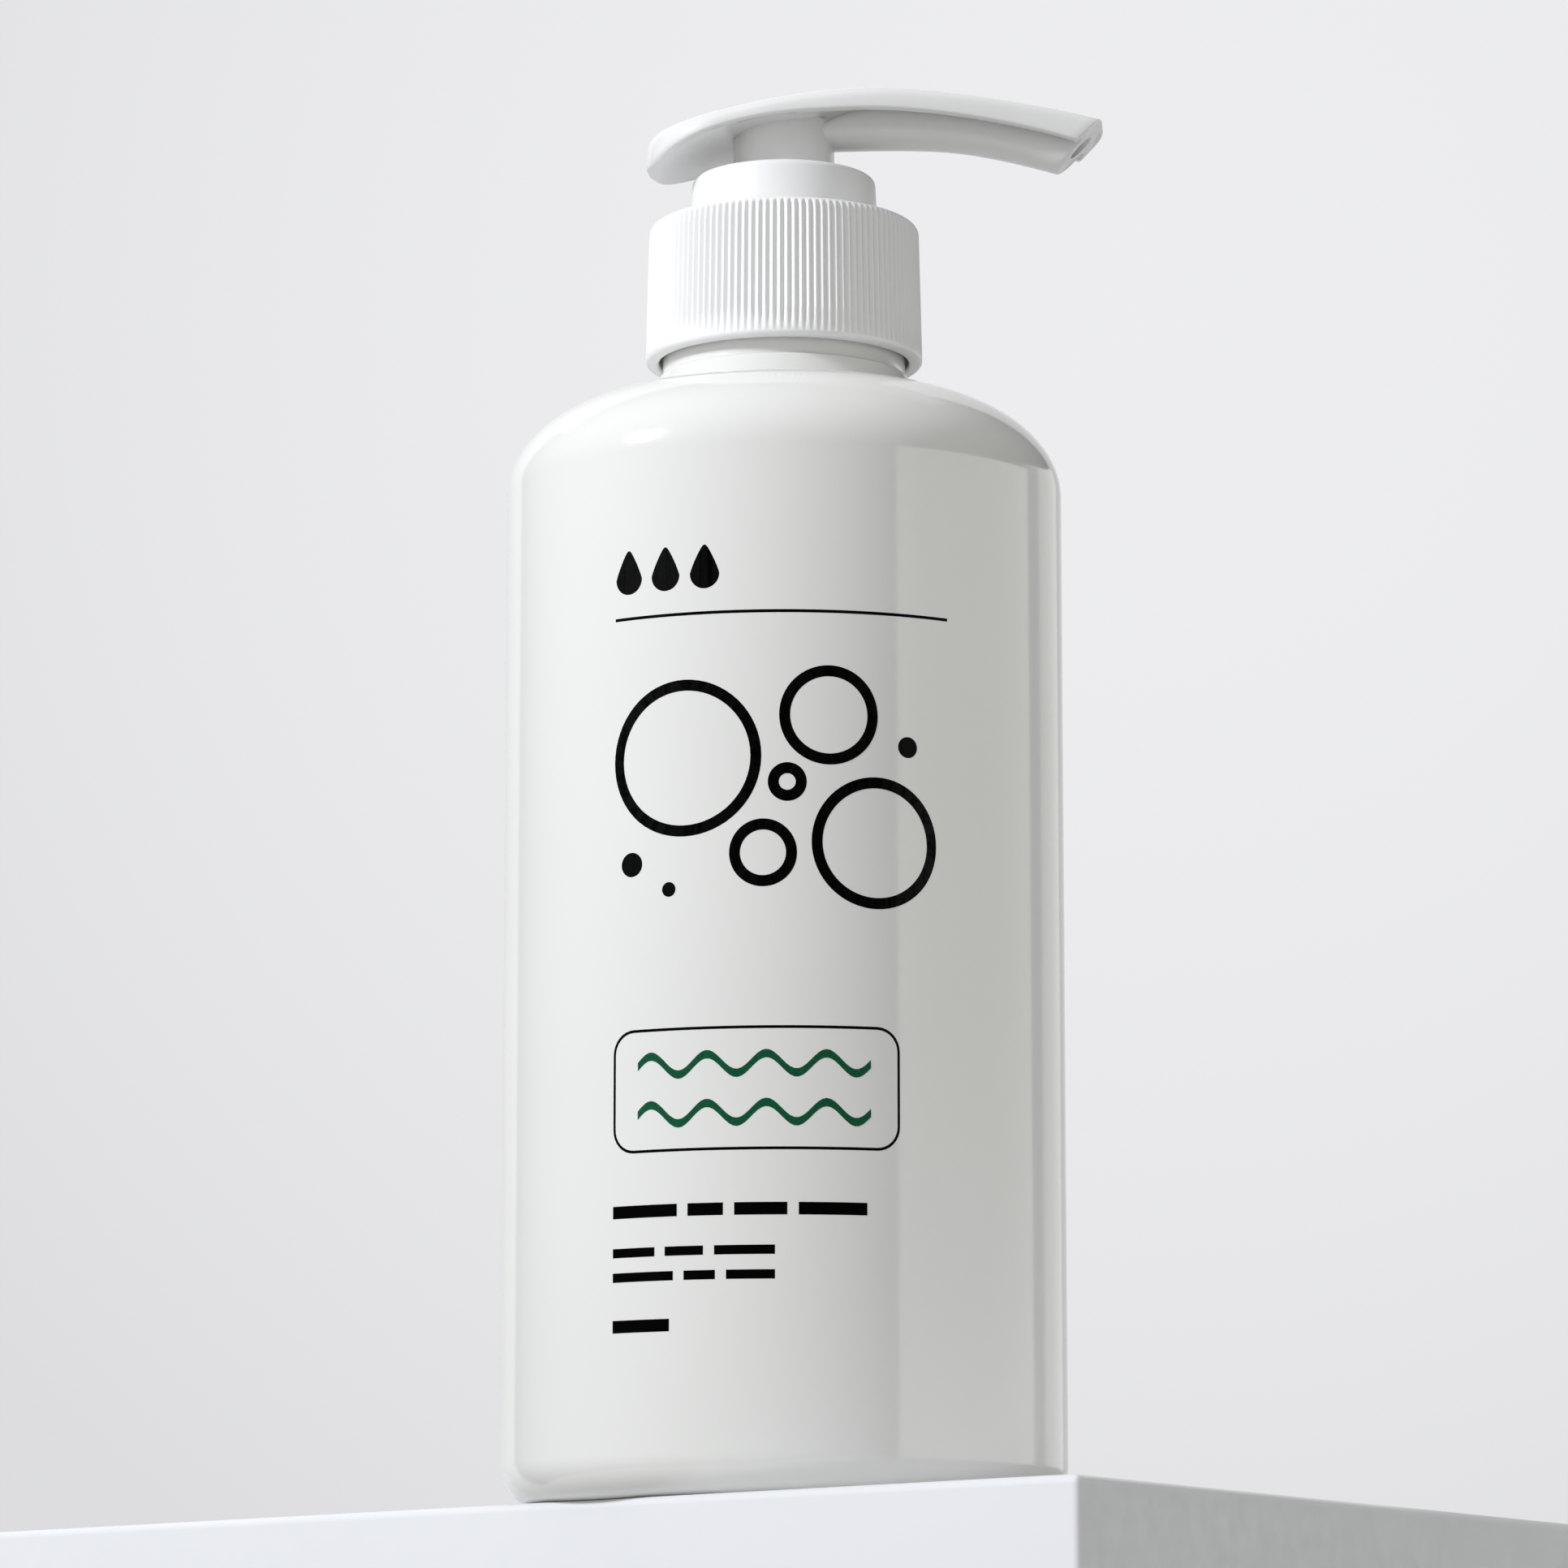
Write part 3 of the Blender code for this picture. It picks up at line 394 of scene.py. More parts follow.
stem_outline = rounded([(STEM_BORE, STEM_TOP, 0.0002), (STEM_RADIUS, STEM_TOP, 0.0003),
                        (STEM_RADIUS, STEM_FOOT, 0.0003), (STEM_BORE, STEM_FOOT, 0.0002)], 4)
finish_piece(spun(stem_outline, 72), "stem_tube", smooth_polypropylene, "head", "stem")

# %% [markdown]
# The pump head is the one shape here that isn't round. Its sections change all the
# way along: a broad rounded pad at the rear, an arched spout, a hollow under the
# shell, and a duct that hangs below the spout and stands back from the shell's
# edge. A few smooth lines describe it: the crown and lower edge in side view, the
# half-widths in plan, the underside of the duct, and how much of the section is
# hollow. Distances run along the spout from the axis, and heights are above the
# collar's top.

# %% The head's lines
def smooth_line(points):
    """A function that runs smoothly through (distance, value) points."""
    last = len(points) - 1
    slopes = []
    for i in range(last + 1):
        before, after = points[max(i - 1, 0)], points[min(i + 1, last)]
        slopes.append((after[1] - before[1]) / (after[0] - before[0]))

    def value(distance):
        distance = min(max(distance, points[0][0]), points[last][0])
        i = 0
        while i < last - 1 and distance > points[i + 1][0]:
            i += 1
        span = points[i + 1][0] - points[i][0]
        t = (distance - points[i][0]) / span
        leaving = ((2 * t ** 3 - 3 * t ** 2 + 1) * points[i][1]
                   + (t ** 3 - 2 * t ** 2 + t) * span * slopes[i])
        arriving = ((3 * t ** 2 - 2 * t ** 3) * points[i + 1][1]
                    + (t ** 3 - t ** 2) * span * slopes[i + 1])
        return leaving + arriving

    return value


crown = smooth_line([(-0.0181, 0.0042), (-0.0175, 0.0053), (-0.0160, 0.0063), (-0.0130, 0.0071),
                     (-0.0090, 0.0080), (-0.0020, 0.0094), (0.0060, 0.0105), (0.0120, 0.0108),
                     (0.0200, 0.0103), (0.0300, 0.0089), (0.0380, 0.0074), (0.0460, 0.0054)])
lower_edge = smooth_line([(-0.0181, 0.0015), (-0.0170, 0.0012), (-0.0160, 0.0014),
                          (-0.0130, 0.00275), (-0.0090, 0.0043), (-0.0020, 0.0060),
                          (0.0060, 0.0068), (0.0150, 0.0070), (0.0250, 0.0061),
                          (0.0350, 0.0042), (0.0460, 0.0009)])
spout_side = smooth_line([(-0.0076, 0.01125), (0.0, 0.0110), (0.0100, 0.0101), (0.0200, 0.0087),
                          (0.0300, 0.0071), (0.0387, 0.0058), (0.0460, 0.0047)])
duct_bottom = smooth_line([(-0.0020, 0.0040), (0.0080, 0.0040), (0.0160, 0.0039),
                           (0.0220, 0.0035), (0.0280, 0.0024), (0.0350, 0.0005),
                           (0.0460, -0.0030)])
duct_side = smooth_line([(-0.0020, 0.0038), (0.0120, 0.0038), (0.0240, 0.00365),
                         (0.0360, 0.00335), (0.0460, 0.0031)])
hollow_share = smooth_line([(-0.0158, 0.0), (-0.0130, 0.06), (-0.0060, 0.1), (0.0030, 0.1),
                            (0.0080, 0.8), (0.0110, 1.0), (0.0180, 1.0), (0.0270, 1.0),
                            (0.0330, 0.8), (0.0380, 0.5), (0.0460, 0.3)])
print("crown over the axis is", round(1000 * crown(0.0), 2), "mm above the collar")

# %% [markdown]
# One section of the head is half a ring, from the middle of the duct's underside
# past its belly and waist, out to the shell's edge and up over the crown. The other
# half is its mirror. The section knows its fillets, so no edge has to be rounded
# afterwards. Some traits come and go along the spout, and each of those has the
# distance where its change starts and the length that it takes.

# %% One section of the head
HEAD_REAR, NOSE, PAD_MIDDLE, PAD_WIDTH = -0.0181, -0.01785, -0.0076, 0.01125
SHELL_WALL, EDGE, HULL, FILLET = 0.0013, 0.00035, 0.0012, 0.0007
WAIST, BELLY = 0.3, 0.55
DUCT_POWER, HOLLOW_POWER, PAD_POWER, TIP_POWER = 2.1, 2.5, 2.6, 5.0
RIM_THINS, DUCT_STARTS, CROWN_SQUARES = (-0.017, 0.008), (-0.004, 0.006), (-0.005, 0.040)
WAIST_STARTS, WAIST_ENDS = (0.001, 0.006), (0.026, 0.016)
QUARTER_TURN = [math.pi / 2 * k / 4 for k in range(5)]


def blend_in(value, start, length):
    """Smooth step from 0 to 1 along a stretch."""
    t = share_of(value, start, length)
    return t * t * (3 - 2 * t)


def round_end(reach, start, end):
    """The share of the full size that is left where a round end closes."""
    return math.sqrt(max(1 - ((start - reach) / (start - end)) ** 2, 0.0))


def arch(width, height, power, count):
    """Points of a rounded arch from its side to its top."""
    angles = [math.pi / 2 * k / count for k in range(count + 1)]
    return [(width * max(math.cos(a), 0.0) ** (2 / power), height * math.sin(a) ** (2 / power))
            for a in angles]


def half_section(reach):
    """(across, height) points of half a section, from the duct's underside to the crown."""
    top, edge = crown(reach), lower_edge(reach)
    width = spout_side(reach)
    if reach < PAD_MIDDLE:
        width = PAD_WIDTH * round_end(reach, PAD_MIDDLE, HEAD_REAR)
    if reach < NOSE:
        closing = round_end(reach, NOSE, HEAD_REAR)
        middle = (top + edge) / 2
        top, edge = middle + (top - middle) * closing, middle - (middle - edge) * closing

    # The shares keep each fillet smaller than what it rounds.
    rim = HULL + (EDGE - HULL) * blend_in(reach, *RIM_THINS)
    eased = min(rim, 0.3 * (top - edge), 0.3 * width)
    inner = max(width - max(SHELL_WALL, eased + 0.0003), 0.4 * width)
    roof = max(top - SHELL_WALL - edge, 0.0) * hollow_share(reach)
    side = min(duct_side(reach), 0.75 * inner)
    fillet = min(FILLET, 0.2 * inner)

    def ceiling(across):
        return edge + roof * max(1 - (across / inner) ** HOLLOW_POWER, 0.0) ** (1 / HOLLOW_POWER)

    waisted = WAIST * blend_in(reach, *WAIST_STARTS) * (1 - blend_in(reach, *WAIST_ENDS))
    web = side * (1 - waisted)
    hang = ceiling(web + fillet)
    bottom = hang + (min(duct_bottom(reach), hang) - hang) * blend_in(reach, *DUCT_STARTS)
    round_in = min(fillet, 0.3 * (hang - bottom))
    belly = bottom + BELLY * (hang - bottom)
    points = [(y, belly - z) for y, z in reversed(arch(side, belly - bottom, DUCT_POWER, 10))]
    points += [(web + (side - web) * math.cos(a), belly + (hang - round_in - belly) * math.sin(a))
               for a in QUARTER_TURN[1:]]
    points += [(web + fillet * (1 - math.cos(a)), hang - round_in * (1 - math.sin(a)))
               for a in QUARTER_TURN[1:]]
    for k in range(1, 11):
        across = web + fillet + (inner - web - fillet) * (1 - (1 - k / 10) ** 2)
        points.append((across, ceiling(across)))
    points += [(width - eased * (1 - math.sin(a)), edge + eased * (1 - math.cos(a)))
               for a in QUARTER_TURN]
    power = PAD_POWER + (TIP_POWER - PAD_POWER) * share_of(reach, *CROWN_SQUARES)
    points += [(y, edge + eased + z) for y, z in arch(width, top - edge - eased, power, 16)[1:]]
    return points


print("a half section has", len(half_section(0.02)), "points")

# %% [markdown]
# The shell is drawn out along the spout: the first ring of edges is extruded, the
# new ring is set on the next section, and so on. Towards the tip the rings lean
# over step by step, so that the last one lies in the slanted plane where the
# spout ends and the end needs no cutting.

# %% Drawing the shell out
def ring_edges(bm, ring):
    """The edges of a closed ring of vertices."""
    return [bm.edges.get(pair) for pair in zip(ring, ring[1:] + ring[:1])]


def draw_out(bm, ring, places):
    """Extrude a closed ring of vertices and set the new ring at the given places."""
    made = bmesh.ops.extrude_edge_only(bm, edges=ring_edges(bm, ring))["geom"]
    fresh = {item for item in made if isinstance(item, bmesh.types.BMVert)}
    following = [next(e.other_vert(v) for e in v.link_edges if e.other_vert(v) in fresh)
                 for v in ring]
    for vert, place in zip(following, places):
        vert.co = place
    return following


def drawn_solid(rings):
    """A closed body drawn through rings of places, and the face at its far end."""
    bm = bmesh.new()
    ring = [bm.verts.new(place) for place in rings[0]]
    first = [bm.edges.new(pair) for pair in zip(ring, ring[1:] + ring[:1])]
    bmesh.ops.contextual_create(bm, geom=first)
    for places in rings[1:]:
        ring = draw_out(bm, ring, places)
    end = bmesh.ops.contextual_create(bm, geom=ring_edges(bm, ring))["faces"][0]
    return bm, end


# %% [markdown]
# A point of a leaning ring lies further along the spout the higher it is, and its
# height depends on how far along it lies. A few rounds of trying settle that.

# %% The head's shell
TIP, LEAN_START = 0.0356, 0.022
PAD_STEPS, SPOUT_STEPS, FIRST_DEG = 28, 40, 4
SETTLING_ROUNDS = 5


def head_ring(reach):
    """A whole ring of the head, leaning to 45 degrees by the time it gets to the tip."""
    lean = blend_in(reach, LEAN_START, TIP - LEAN_START)
    half = []
    for i in range(len(half_section(reach))):
        along = reach
        for _ in range(SETTLING_ROUNDS):
            across, height = half_section(along)[i]
            along = reach + lean * (height - duct_bottom(reach))
        half.append((along, across, COLLAR_TOP + height))
    return half + [(x, -y, z) for x, y, z in half[-2:0:-1]]


pad_turns = [math.radians(FIRST_DEG + (90 - FIRST_DEG) * k / PAD_STEPS)
             for k in range(PAD_STEPS + 1)]
stations = [PAD_MIDDLE - (PAD_MIDDLE - HEAD_REAR) * math.cos(a) for a in pad_turns]
stations += [PAD_MIDDLE + (TIP - PAD_MIDDLE) * k / SPOUT_STEPS for k in range(1, SPOUT_STEPS + 1)]
shell, tip_face = drawn_solid([head_ring(x) for x in stations])
bmesh.ops.bevel(shell, geom=list(tip_face.edges), offset=0.00008, offset_type='OFFSET',
                segments=2, profile=0.5, affect='EDGES', material=-1)
print("head shell drawn through", len(stations), "rings")

# %% [markdown]
# Below the shell stands the round post that slides in the collar, and inside run the
# stem's socket, the riser and the duct's bore. They are easiest to make as solids
# of their own and to join or cut with exact booleans, which are then baked into
# one mesh, as the real head is one moulding. The solids themselves aren't shown.

# %% The head's post, socket and bore
POST_RADIUS, POST_FOOT, POST_TOP = 0.0066, 0.1630, COLLAR_TOP + 0.0074
SOCKET_RADIUS, SOCKET_FOOT, SOCKET_TOP = 0.0043, 0.1600, COLLAR_TOP + 0.0010
RISER_RADIUS, RISER_TOP = 0.0021, COLLAR_TOP + 0.0070
BORE_WALL, BORE_FLOOR = 0.0018, 0.0026
BORE_START, BORE_LENGTH, BORE_STEPS = -0.001, 0.049, 40


def bore_ring(reach):
    """A ring of the duct's bore, set in from the duct by its wall."""
    roof, floor = crown(reach) - BORE_WALL, duct_bottom(reach) + BORE_FLOOR
    side = duct_side(reach) - BORE_WALL
    middle, rise = (roof + floor) / 2, (roof - floor) / 2
    turns = [math.tau * k / 40 for k in range(40)]
    return [(reach, side * math.cos(a), COLLAR_TOP + middle + rise * math.sin(a)) for a in turns]


post = spun(rounded([(0.0, POST_FOOT, 0), (POST_RADIUS, POST_FOOT, 0.0003),
                     (POST_RADIUS, POST_TOP, 0), (0.0, POST_TOP, 0)]), 96, closed=False)
way_in = spun(rounded([(0.0, SOCKET_FOOT, 0), (SOCKET_RADIUS, SOCKET_FOOT, 0),
                       (SOCKET_RADIUS, SOCKET_TOP, 0), (RISER_RADIUS, SOCKET_TOP, 0),
                       (RISER_RADIUS, RISER_TOP, 0), (0.0, RISER_TOP, 0)]), 48, closed=False)
bore, _ = drawn_solid([bore_ring(BORE_START + BORE_LENGTH * k / BORE_STEPS)
                       for k in range(BORE_STEPS + 1)])
head = scene_object(cleaned(shell), "head_blank")
tools = [scene_object(cleaned(post), "post"), scene_object(cleaned(way_in), "way_in"),
         scene_object(cleaned(bore), "bore")]
for tool, operation in zip(tools, ('UNION', 'DIFFERENCE', 'DIFFERENCE')):
    modifier = head.modifiers.new(tool.name, 'BOOLEAN')
    modifier.object, modifier.operation, modifier.solver = tool, operation, 'EXACT'
bpy.context.view_layer.update()
joined = bmesh.new()
joined.from_mesh(head.evaluated_get(bpy.context.evaluated_depsgraph_get()).to_mesh())
for solid in [head, *tools]:
    bpy.data.objects.remove(solid)
finish_piece(joined, "head_shell", smooth_polypropylene, "head", "pump_head",
             crease_deg=30)

# %% [markdown]
# The return spring is stainless wire. Drawing the wire through a die leaves a bright
# surface with fine lines, which scatter its highlight a little. The ball is ground
# and polished, so it mirrors more sharply.

# %% Spring wire and the ball's steel
drawn_wire = moulded_skin("stainless_wire_drawn", ("B9B9B7", "A9A9A8"), (0.18, 0.32),
                          drift_mm=4.0, drift_height_mm=0.002,
                          grain_mm=0.25, grain_height_mm=0.002, Metallic=1.0)
polished_ball = moulded_skin("stainless_ball_polished", ("C4C4C4", "B8B8B7"), (0.06, 0.12),
                             drift_mm=3.0, drift_height_mm=0.0005,
                             grain_mm=0.3, grain_height_mm=0.0004, Metallic=1.0)

# %% [markdown]
# The coil is a spin with a lift, like the threads, of one small circle. Its foot
# stays with the pump body and its top rises with the carriage, but here the coil is
# baked in place and rides on neither.

# %% The return spring
COIL_RADIUS, WIRE, WIRE_SIDES = 0.00495, 0.00045, 12
COIL_FOOT, COIL_TOP, TURNS = 0.1211, 0.1342, 8
COIL_STEPS = TURNS * 40

coil = bmesh.new()
wire_end = (Matrix.Translation((COIL_RADIUS, 0.0, COIL_FOOT + WIRE))
            @ Matrix.Rotation(math.pi / 2, 4, 'X'))
bmesh.ops.create_circle(coil, cap_ends=False, segments=WIRE_SIDES, radius=WIRE, matrix=wire_end)
sweep(coil, coil.verts[:] + coil.edges[:], TURNS * math.tau, COIL_STEPS,
      lift=(COIL_TOP - COIL_FOOT - 2 * WIRE) / COIL_STEPS)
bmesh.ops.holes_fill(coil, edges=[e for e in coil.edges if e.is_boundary], sides=WIRE_SIDES)
spring = scene_object(cleaned(coil), "spring_coil", drawn_wire, crease_deg=50)
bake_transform(spring)
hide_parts("return_spring")
print("spring_coil:", len(spring.data.polygons), "faces,", TURNS, "turns")

# %% [markdown]
# The rest of the pump is hidden inside and its CAD shapes are right as they are, so
# they only get better materials. Natural polypropylene has no pigment and lets
# light through a little. The dip tube is softer polyethylene, and the gasket is
# foamed polyethylene, whose cells show as tiny dimples.

# %% Materials for the hidden pump
natural_pp = moulded_skin("natural_polypropylene_moulded", ("E6E8E6", "DDE0DD"), (0.30, 0.42),
                          drift_mm=10.0, drift_height_mm=0.01,
                          grain_mm=0.6, grain_height_mm=0.0015, IOR=1.49,
                          Transmission_Weight=0.25)
tube_polyethylene = moulded_skin("natural_polyethylene_extruded", ("E4E7E6", "DCE0DF"),
                                 (0.26, 0.38), drift_mm=14.0, drift_height_mm=0.02,
                                 grain_mm=0.9, grain_height_mm=0.002, IOR=1.51,
                                 Transmission_Weight=0.3)
lip_polyethylene = moulded_skin("white_polyethylene_lips", ("EDEDEA", "E4E4E1"), (0.35, 0.5),
                                drift_mm=6.0, drift_height_mm=0.004,
                                grain_mm=0.4, grain_height_mm=0.001, IOR=1.51)
foam = moulded_skin("polyethylene_foam_die_cut", ("ECECE8", "DADAD5"), (0.6, 0.8),
                    drift_mm=2.5, drift_height_mm=0.03,
                    grain_mm=0.3, grain_height_mm=0.03, IOR=1.5)
for node, material in {"pump_housing": natural_pp, "ball_cage": natural_pp, "plunger": natural_pp,
                       "dip_tube": tube_polyethylene, "piston": lip_polyethylene,
                       "neck_gasket": foam, "inlet_ball": polished_ball}.items():
    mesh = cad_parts[node].data
    mesh.materials.clear()
    mesh.materials.append(material)
    print("CAD node", node, "finished in", material.name)

# %% [markdown]
# The front of the bottle carries a screen print. Its ink is a thin film that lies on
# the plastic, a touch duller than the wall around it and not quite even. This print
# is a plain one of bubbles, drops, rules and waves, in black and dark green. The
# black is matt, so it hardly reflects the studio and stays deep.

# %% Screen inks
black_ink = moulded_skin("screen_ink_black", ("060606", "0B0B0A"), (0.30, 0.44),
                         drift_mm=9.0, drift_height_mm=0.002,
                         grain_mm=0.35, grain_height_mm=0.0015, IOR=1.14)
green_ink = moulded_skin("screen_ink_green", ("14704A", "1A7A50"), (0.22, 0.36),
                         drift_mm=9.0, drift_height_mm=0.002,
                         grain_mm=0.35, grain_height_mm=0.0015, IOR=1.5)

# %% [markdown]
# Each mark starts flat, as on the printer's film: x runs along the print and y runs
# up the bottle, in millimetres. Circles and frames are a face that is inset and
# loses its middle, and a wave is a grid with its points moved up and down.

# %% Flat marks
def outlined(bm, face, line):
    """Keep only a line of the given width round a flat face."""
    bmesh.ops.inset_individual(bm, faces=[face], thickness=line, use_even_offset=True)
    bmesh.ops.delete(bm, geom=[face], context='FACES')


def bubble(bm, x, y, radius, line=None):
    """A round mark: a ring if it has a line width, else a solid dot."""
    made = bmesh.ops.create_circle(bm, cap_ends=True, segments=64, radius=radius,
                                   matrix=Matrix.Translation((x, y, 0)))["verts"]
    if line:
        outlined(bm, made[0].link_faces[0], line)


def drop(bm, x, y, radius, narrowing=0.55, stretch=1.9):
    """A solid drop: a dot whose upper half is drawn to a point."""
    made = bmesh.ops.create_circle(bm, cap_ends=True, segments=48, radius=radius)["verts"]
    for vert in made:
        if vert.co.y > 0:
            vert.co.x *= 1 - narrowing * vert.co.y / radius
            vert.co.y *= stretch
    bmesh.ops.translate(bm, verts=made, vec=(x, y, 0))


def panel_mark(bm, x, y, length, height, segments=1):
    """A flat panel that starts at x and has its middle at height y."""
    place = Matrix.Translation((x + length / 2, y, 0)) @ Matrix.Diagonal((length, height, 1, 1))
    return bmesh.ops.create_grid(bm, x_segments=segments, y_segments=1, size=0.5,
                                 matrix=place)["verts"]


def bar(bm, x, y, length, height, wave=0.0, wave_length=1.0):
    """A straight rule from x, or a wavy one."""
    for vert in panel_mark(bm, x, y, length, height, max(int(2 * length), 1)):
        vert.co.y += wave * math.sin(math.tau * (vert.co.x - x) / wave_length)


def frame_mark(bm, x, y, length, height, corner, line):
    """A rounded frame drawn with a thin line."""
    made = panel_mark(bm, x, y, length, height)
    corners = bmesh.ops.bevel(bm, geom=made, offset=corner, offset_type='OFFSET', segments=8,
                              profile=0.5, affect='VERTICES', material=-1)["verts"]
    outlined(bm, max(corners[0].link_faces, key=lambda face: face.calc_area()), line)


# %% [markdown]
# To go onto the bottle, the flat marks are cut into narrow strips, so that they can
# bend, and each point is then carried round the wall at the CAD radius. Solidify
# closes the marks with a second sheet. It goes by the normals that Blender stored
# while the marks were flat, so that sheet lies 0.03 mm along the bottle's axis and
# not further in. A normal_update before it would turn the film inwards. The camera
# will stand 4.7 degrees to the right of the model's front, and the print faces it.

# %% Bending the print round the bottle
PRINT_RADIUS = 0.0360
FILM = 0.00003
VIEW = math.radians(4.7)
STRIP, STRIPS_EACH_SIDE = 1.5, 16


def wrap_print(bm, name, ink):
    """Bend flat marks round the bottle and finish them as a film of ink."""
    for k in range(-STRIPS_EACH_SIDE, STRIPS_EACH_SIDE + 1):
        bmesh.ops.bisect_plane(bm, geom=bm.verts[:] + bm.edges[:] + bm.faces[:], dist=0.0001,
                               plane_co=(k * STRIP, 0, 0), plane_no=(1, 0, 0))
    for vert in bm.verts:
        angle = VIEW + vert.co.x / 1000 / PRINT_RADIUS
        vert.co = (PRINT_RADIUS * math.sin(angle), -PRINT_RADIUS * math.cos(angle),
                   vert.co.y / 1000)
    bmesh.ops.solidify(bm, geom=bm.faces[:], thickness=FILM)
    finish_piece(bm, name, ink, "bottle")


# %% [markdown]
# The drops stand over a rule at the top, the bubbles float in the middle, and a frame
# holds two green waves. Rows of short bars below stand in for small print.

# %% The print
LEFT, BAR_GAP = -22.4, 1.4
THIN, BOLD = 0.35, 1.35
BUBBLES = ((-12.6, 90.5, 9.8), (5.6, 95.6, 6.2), (11.6, 79.8, 8.2), (-2.6, 78.4, 4.2),
           (0.4, 87.2, 2.4))
DOTS = ((15.8, 92.0, 1.3), (-19.8, 77.6, 1.5), (-14.6, 74.2, 0.9))
BAR_ROWS = ((34.6, 1.5, (9.0, 4.5, 6.5, 8.5)), (29.6, 1.1, (6.0, 5.0, 7.5)),
            (26.6, 1.1, (8.5, 4.0, 6.0)), (20.6, 1.5, (8.0,)))

black = bmesh.new()
for x in (-20.4, -15.2, -10.0):
    drop(black, x, 113.6, radius=1.9)
bar(black, LEFT, 108.6, length=44.0, height=THIN)
for x, y, radius in BUBBLES:
    bubble(black, x, y, radius, BOLD)
for x, y, radius in DOTS:
    bubble(black, x, y, radius)
frame_mark(black, LEFT, 49.4, length=37.0, height=15.2, corner=3.0, line=0.32)
for y, height, lengths in BAR_ROWS:
    x = LEFT
    for length in lengths:
        bar(black, x, y, length, height)
        x += length + BAR_GAP
wrap_print(black, "print_black", black_ink)

green = bmesh.new()
for y in (52.4, 46.4):
    bar(green, -18.8, y, length=29.6, height=1.0, wave=1.2, wave_length=7.4)
wrap_print(green, "print_green", green_ink)

# %% [markdown]
# The bottle stands near the corner of a pale plinth. The camera is a little lower
# than the plinth's top, so only its two front faces show from there. The plinth is
# a block with eased edges, in a roller-painted finish. Its corner isn't square, so
# its two directions in plan are given one by one.

# %% The plinth
PLINTH = (0.42, 0.36, 0.16)
PLINTH_CORNER = (0.0332, -0.0845)
FRONT, SIDE = math.radians(132.3), math.radians(61.0)
PLINTH_EASE = 0.0011

paint = moulded_skin("white_emulsion_roller_painted", ("E4E5E7", "DEDFE1"), (0.55, 0.7),
                     drift_mm=60.0, drift_height_mm=0.05,
                     grain_mm=2.5, grain_height_mm=0.02, IOR=1.5)
block = bmesh.new()
middle = Matrix.Translation((PLINTH[0] / 2, PLINTH[1] / 2, -PLINTH[2] / 2))
bmesh.ops.create_cube(block, size=1.0, matrix=middle @ Matrix.Diagonal((*PLINTH, 1)))
bmesh.ops.bevel(block, geom=block.edges[:], offset=PLINTH_EASE, offset_type='OFFSET', segments=3,
                profile=0.5, affect='EDGES', material=-1)
plan = Matrix(((math.cos(FRONT), math.cos(SIDE), 0, PLINTH_CORNER[0]),
               (math.sin(FRONT), math.sin(SIDE), 0, PLINTH_CORNER[1]),
               (0, 0, 1, 0), (0, 0, 0, 1)))
bmesh.ops.transform(block, verts=block.verts[:], matrix=Matrix.Rotation(VIEW, 4, 'Z') @ plan)
plinth = scene_object(cleaned(block), "plinth", paint, crease_deg=40)
print("plinth of", [round(1000 * n) for n in PLINTH], "mm")

# %% [markdown]
# The studio is simple: one small softbox to the left, a large weak one overhead, a
# curved white board to the right and a dark room around. The board's edges show in
# the glossy wall as the two upright lines on the right of the body, and the dark
# room keeps the print black. The board, the wall behind it and the dark drapes are
# there for the reflections only, so the camera doesn't see them and they don't
# change the light.

# %% Key and fill
AIM = Vector((0, 0, 0.13))


def around(beside_deg, distance, height):
    """A place round the bottle, by its angle from the camera to the camera's right."""
    azimuth = VIEW + math.radians(beside_deg)
    return Vector((distance * math.sin(azimuth), -distance * math.cos(azimuth), height))


def softbox(name, place, width, height, watts, colour):
    """An oval softbox at a place, aimed at the bottle's upper half."""
    lamp = bpy.data.lights.new(name, 'AREA')
    lamp.shape, lamp.size, lamp.size_y = 'ELLIPSE', width, height
    lamp.energy = watts
    lamp.color = linear(colour)[:3]
    holder = bpy.data.objects.new(name, lamp)
    holder.location = place
    holder.rotation_euler = (AIM - place).to_track_quat('-Z', 'Y').to_euler()
    holder.visible_camera = False
    bpy.context.scene.collection.objects.link(holder)
    print("softbox", name, "of", watts, "W")
    return holder


softbox("key_softbox", around(-62, 0.78, 0.58), 0.13, 0.18, 6.3, "F6F9FF")
fill = softbox("overhead_fill", around(165, 0.5, 1.15), 1.0, 1.0, 5.0, "FFFFFF")
fill.visible_glossy = False

# %% [markdown]
# Each screen is a straight edge that is spun part of the way round the bottle. The
# board and the wall glow a little by themselves, which stands for the light that
# they throw back. The drapes in front have a flat roof over the camera.

# %% Board, wall and drapes
ROOM, BOARD_DISTANCE = 1.5, 0.6
ROOF_HALF, ROOF_PLACE = 1.5, (0.0, -0.95, 0.9)


def screen(name, material, distance, bottom, top, start_deg, end_deg, roofed=False):
    """A curved screen round the bottle that only reflections see."""
    bm = bmesh.new()
    ends = [bm.verts.new(around(start_deg, distance, height)) for height in (bottom, top)]
    sweep(bm, [*ends, bm.edges.new(ends)], math.radians(end_deg - start_deg), 48)
    if roofed:
        bmesh.ops.create_grid(bm, x_segments=8, y_segments=8, size=ROOF_HALF,
                              matrix=Matrix.Translation(ROOF_PLACE))
    panel = scene_object(bm, name, material)
    panel.visible_camera = panel.visible_diffuse = panel.visible_shadow = False
    print("screen", name, "from", start_deg, "to", end_deg, "degrees")


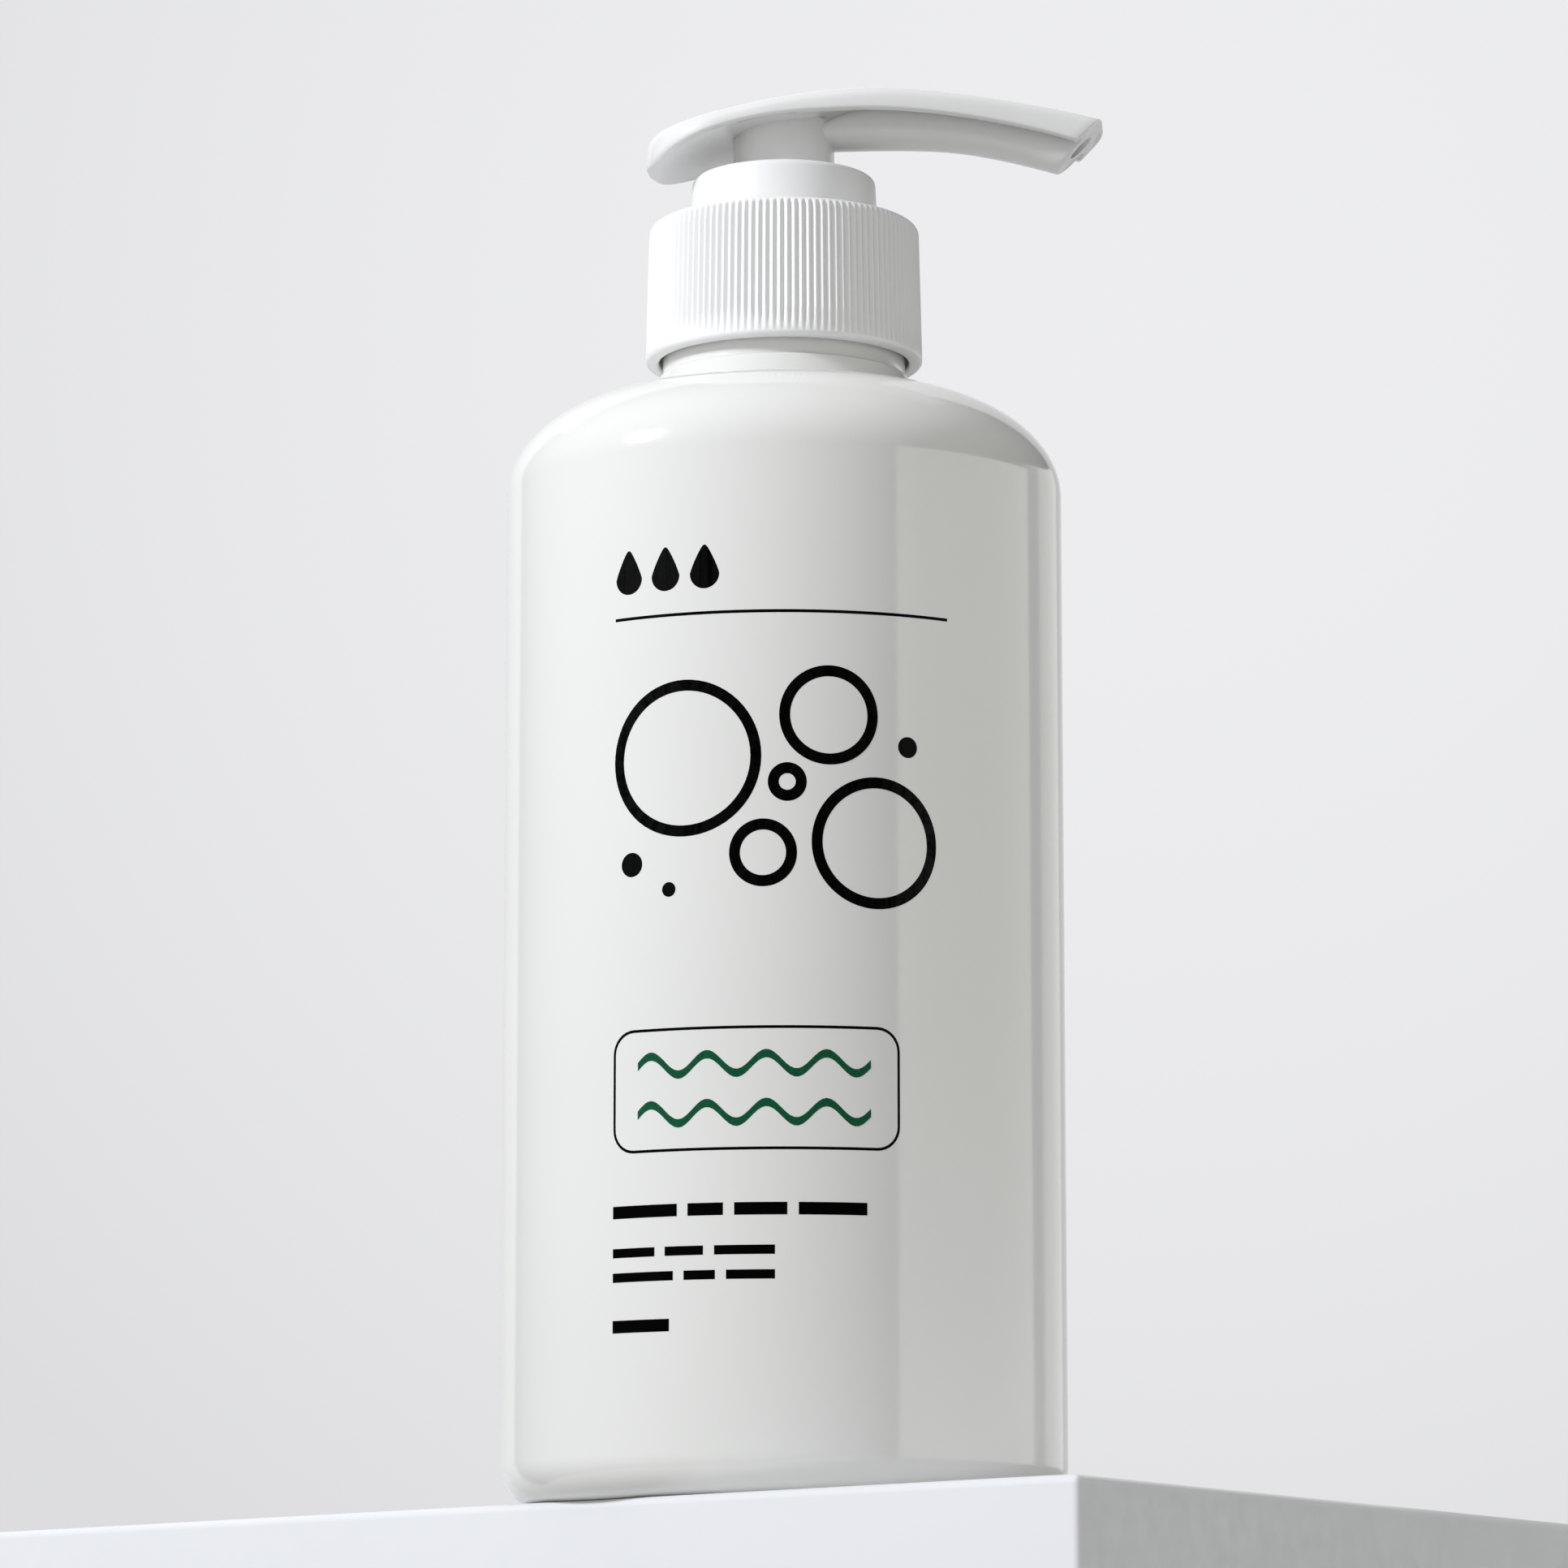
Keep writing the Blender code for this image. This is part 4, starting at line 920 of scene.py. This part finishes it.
velvet = moulded_skin("black_velvet_drape", ("070707", "0B0B0B"), (0.9, 1.0),
                      drift_mm=80.0, drift_height_mm=0.5, grain_mm=4.0, grain_height_mm=0.1)
board = moulded_skin("white_foam_board", ("F4F3EF", "EFEEEA"), (0.6, 0.8),
                     drift_mm=120.0, drift_height_mm=0.2, grain_mm=3.0, grain_height_mm=0.02,
                     Emission_Color=linear("FFFEFA"), Emission_Strength=1.1)
wall = moulded_skin("pale_wall_matt_painted", ("E2E2E0", "DCDCDA"), (0.7, 0.9),
                    drift_mm=150.0, drift_height_mm=0.3, grain_mm=4.0, grain_height_mm=0.05,
                    Emission_Color=linear("FFFEFB"), Emission_Strength=0.75)
screen("dark_drapes", velvet, ROOM, -0.8, 1.2, -139, 118, roofed=True)
screen("high_drapes", velvet, ROOM, 0.6, 2.6, 118, 152)
screen("pale_wall", wall, ROOM, -0.1, 0.6, 130, 154)
screen("white_board", board, BOARD_DISTANCE, -0.15, 0.286, 45.7, 118)

# %% [markdown]
# The world gives a low soft light, more from the front and above, as a pale room would.
# To the camera and in reflections it is a pale backdrop that is lit best behind the
# bottle's right shoulder and falls off from there.

# %% World
BRIGHT_SIDE = around(-20, 0.978, 0.208)
LIT_PLACE = around(176.7, 1.0, 0.242).normalized()
LIGHT_LEVELS = {"From Min": -1.0, "From Max": 1.0, "To Min": 0.11, "To Max": 0.67}
BACKDROP_LEVELS = {"From Min": 0.969, "From Max": 1.0, "To Min": 0.874, "To Max": 1.03}

world = bpy.data.worlds.new("pale_backdrop")
world.use_nodes = True
bpy.context.scene.world = world
sky = world.node_tree
sky.nodes.clear()
way = add_node(sky, "ShaderNodeTexCoord").outputs["Generated"]


def graded(colour, towards, levels):
    """A background that changes with how near a direction is to a given one."""
    nearness = add_node(sky, "ShaderNodeVectorMath", {"operation": 'DOT_PRODUCT', 1: towards},
                        {0: way})
    level = add_node(sky, "ShaderNodeMapRange", levels, {"Value": nearness.outputs["Value"]})
    return add_node(sky, "ShaderNodeBackground", {"Color": linear(colour)},
                    {"Strength": level.outputs["Result"]})


soft = graded("FFFFFE", BRIGHT_SIDE, LIGHT_LEVELS)
pale = graded("EAEAEC", LIT_PLACE, BACKDROP_LEVELS)
path = add_node(sky, "ShaderNodeLightPath")
seen = add_node(sky, "ShaderNodeMath", {"operation": 'MAXIMUM'},
                {0: path.outputs["Is Camera Ray"], 1: path.outputs["Is Glossy Ray"]})
seen = add_node(sky, "ShaderNodeMath", {"operation": 'MAXIMUM'},
                {0: seen.outputs[0], 1: path.outputs["Is Transmission Ray"]})
both = add_node(sky, "ShaderNodeMixShader", {},
                {0: seen.outputs[0], 1: soft.outputs[0], 2: pale.outputs[0]})
add_node(sky, "ShaderNodeOutputWorld", {}, {"Surface": both.outputs[0]})
bpy.context.scene.view_settings.view_transform = 'Standard'
print("world and view set")

# %% [markdown]
# The camera has a long lens, stands about 0.79 m from the bottle's axis, a little
# below the plinth's top, and looks up by about nine degrees.

# %% Camera
IMAGE, FOCAL_PIXELS, SENSOR = 1932, 7600, 36.0
CAMERA_DISTANCE, CAMERA_HEIGHT, LOOK_UP_DEG = 0.7848, -0.03616, 9.33

lens = bpy.data.cameras.new("camera")
lens.sensor_width = SENSOR
lens.lens = SENSOR * FOCAL_PIXELS / IMAGE
lens.clip_start, lens.clip_end = 0.01, 20.0
camera = bpy.data.objects.new("camera", lens)
camera.location = around(0.0, CAMERA_DISTANCE, CAMERA_HEIGHT)
camera.rotation_euler = (math.radians(90 + LOOK_UP_DEG), 0.0, VIEW)
bpy.context.scene.collection.objects.link(camera)
bpy.context.scene.camera = camera
print("camera lens", round(lens.lens, 1), "mm")
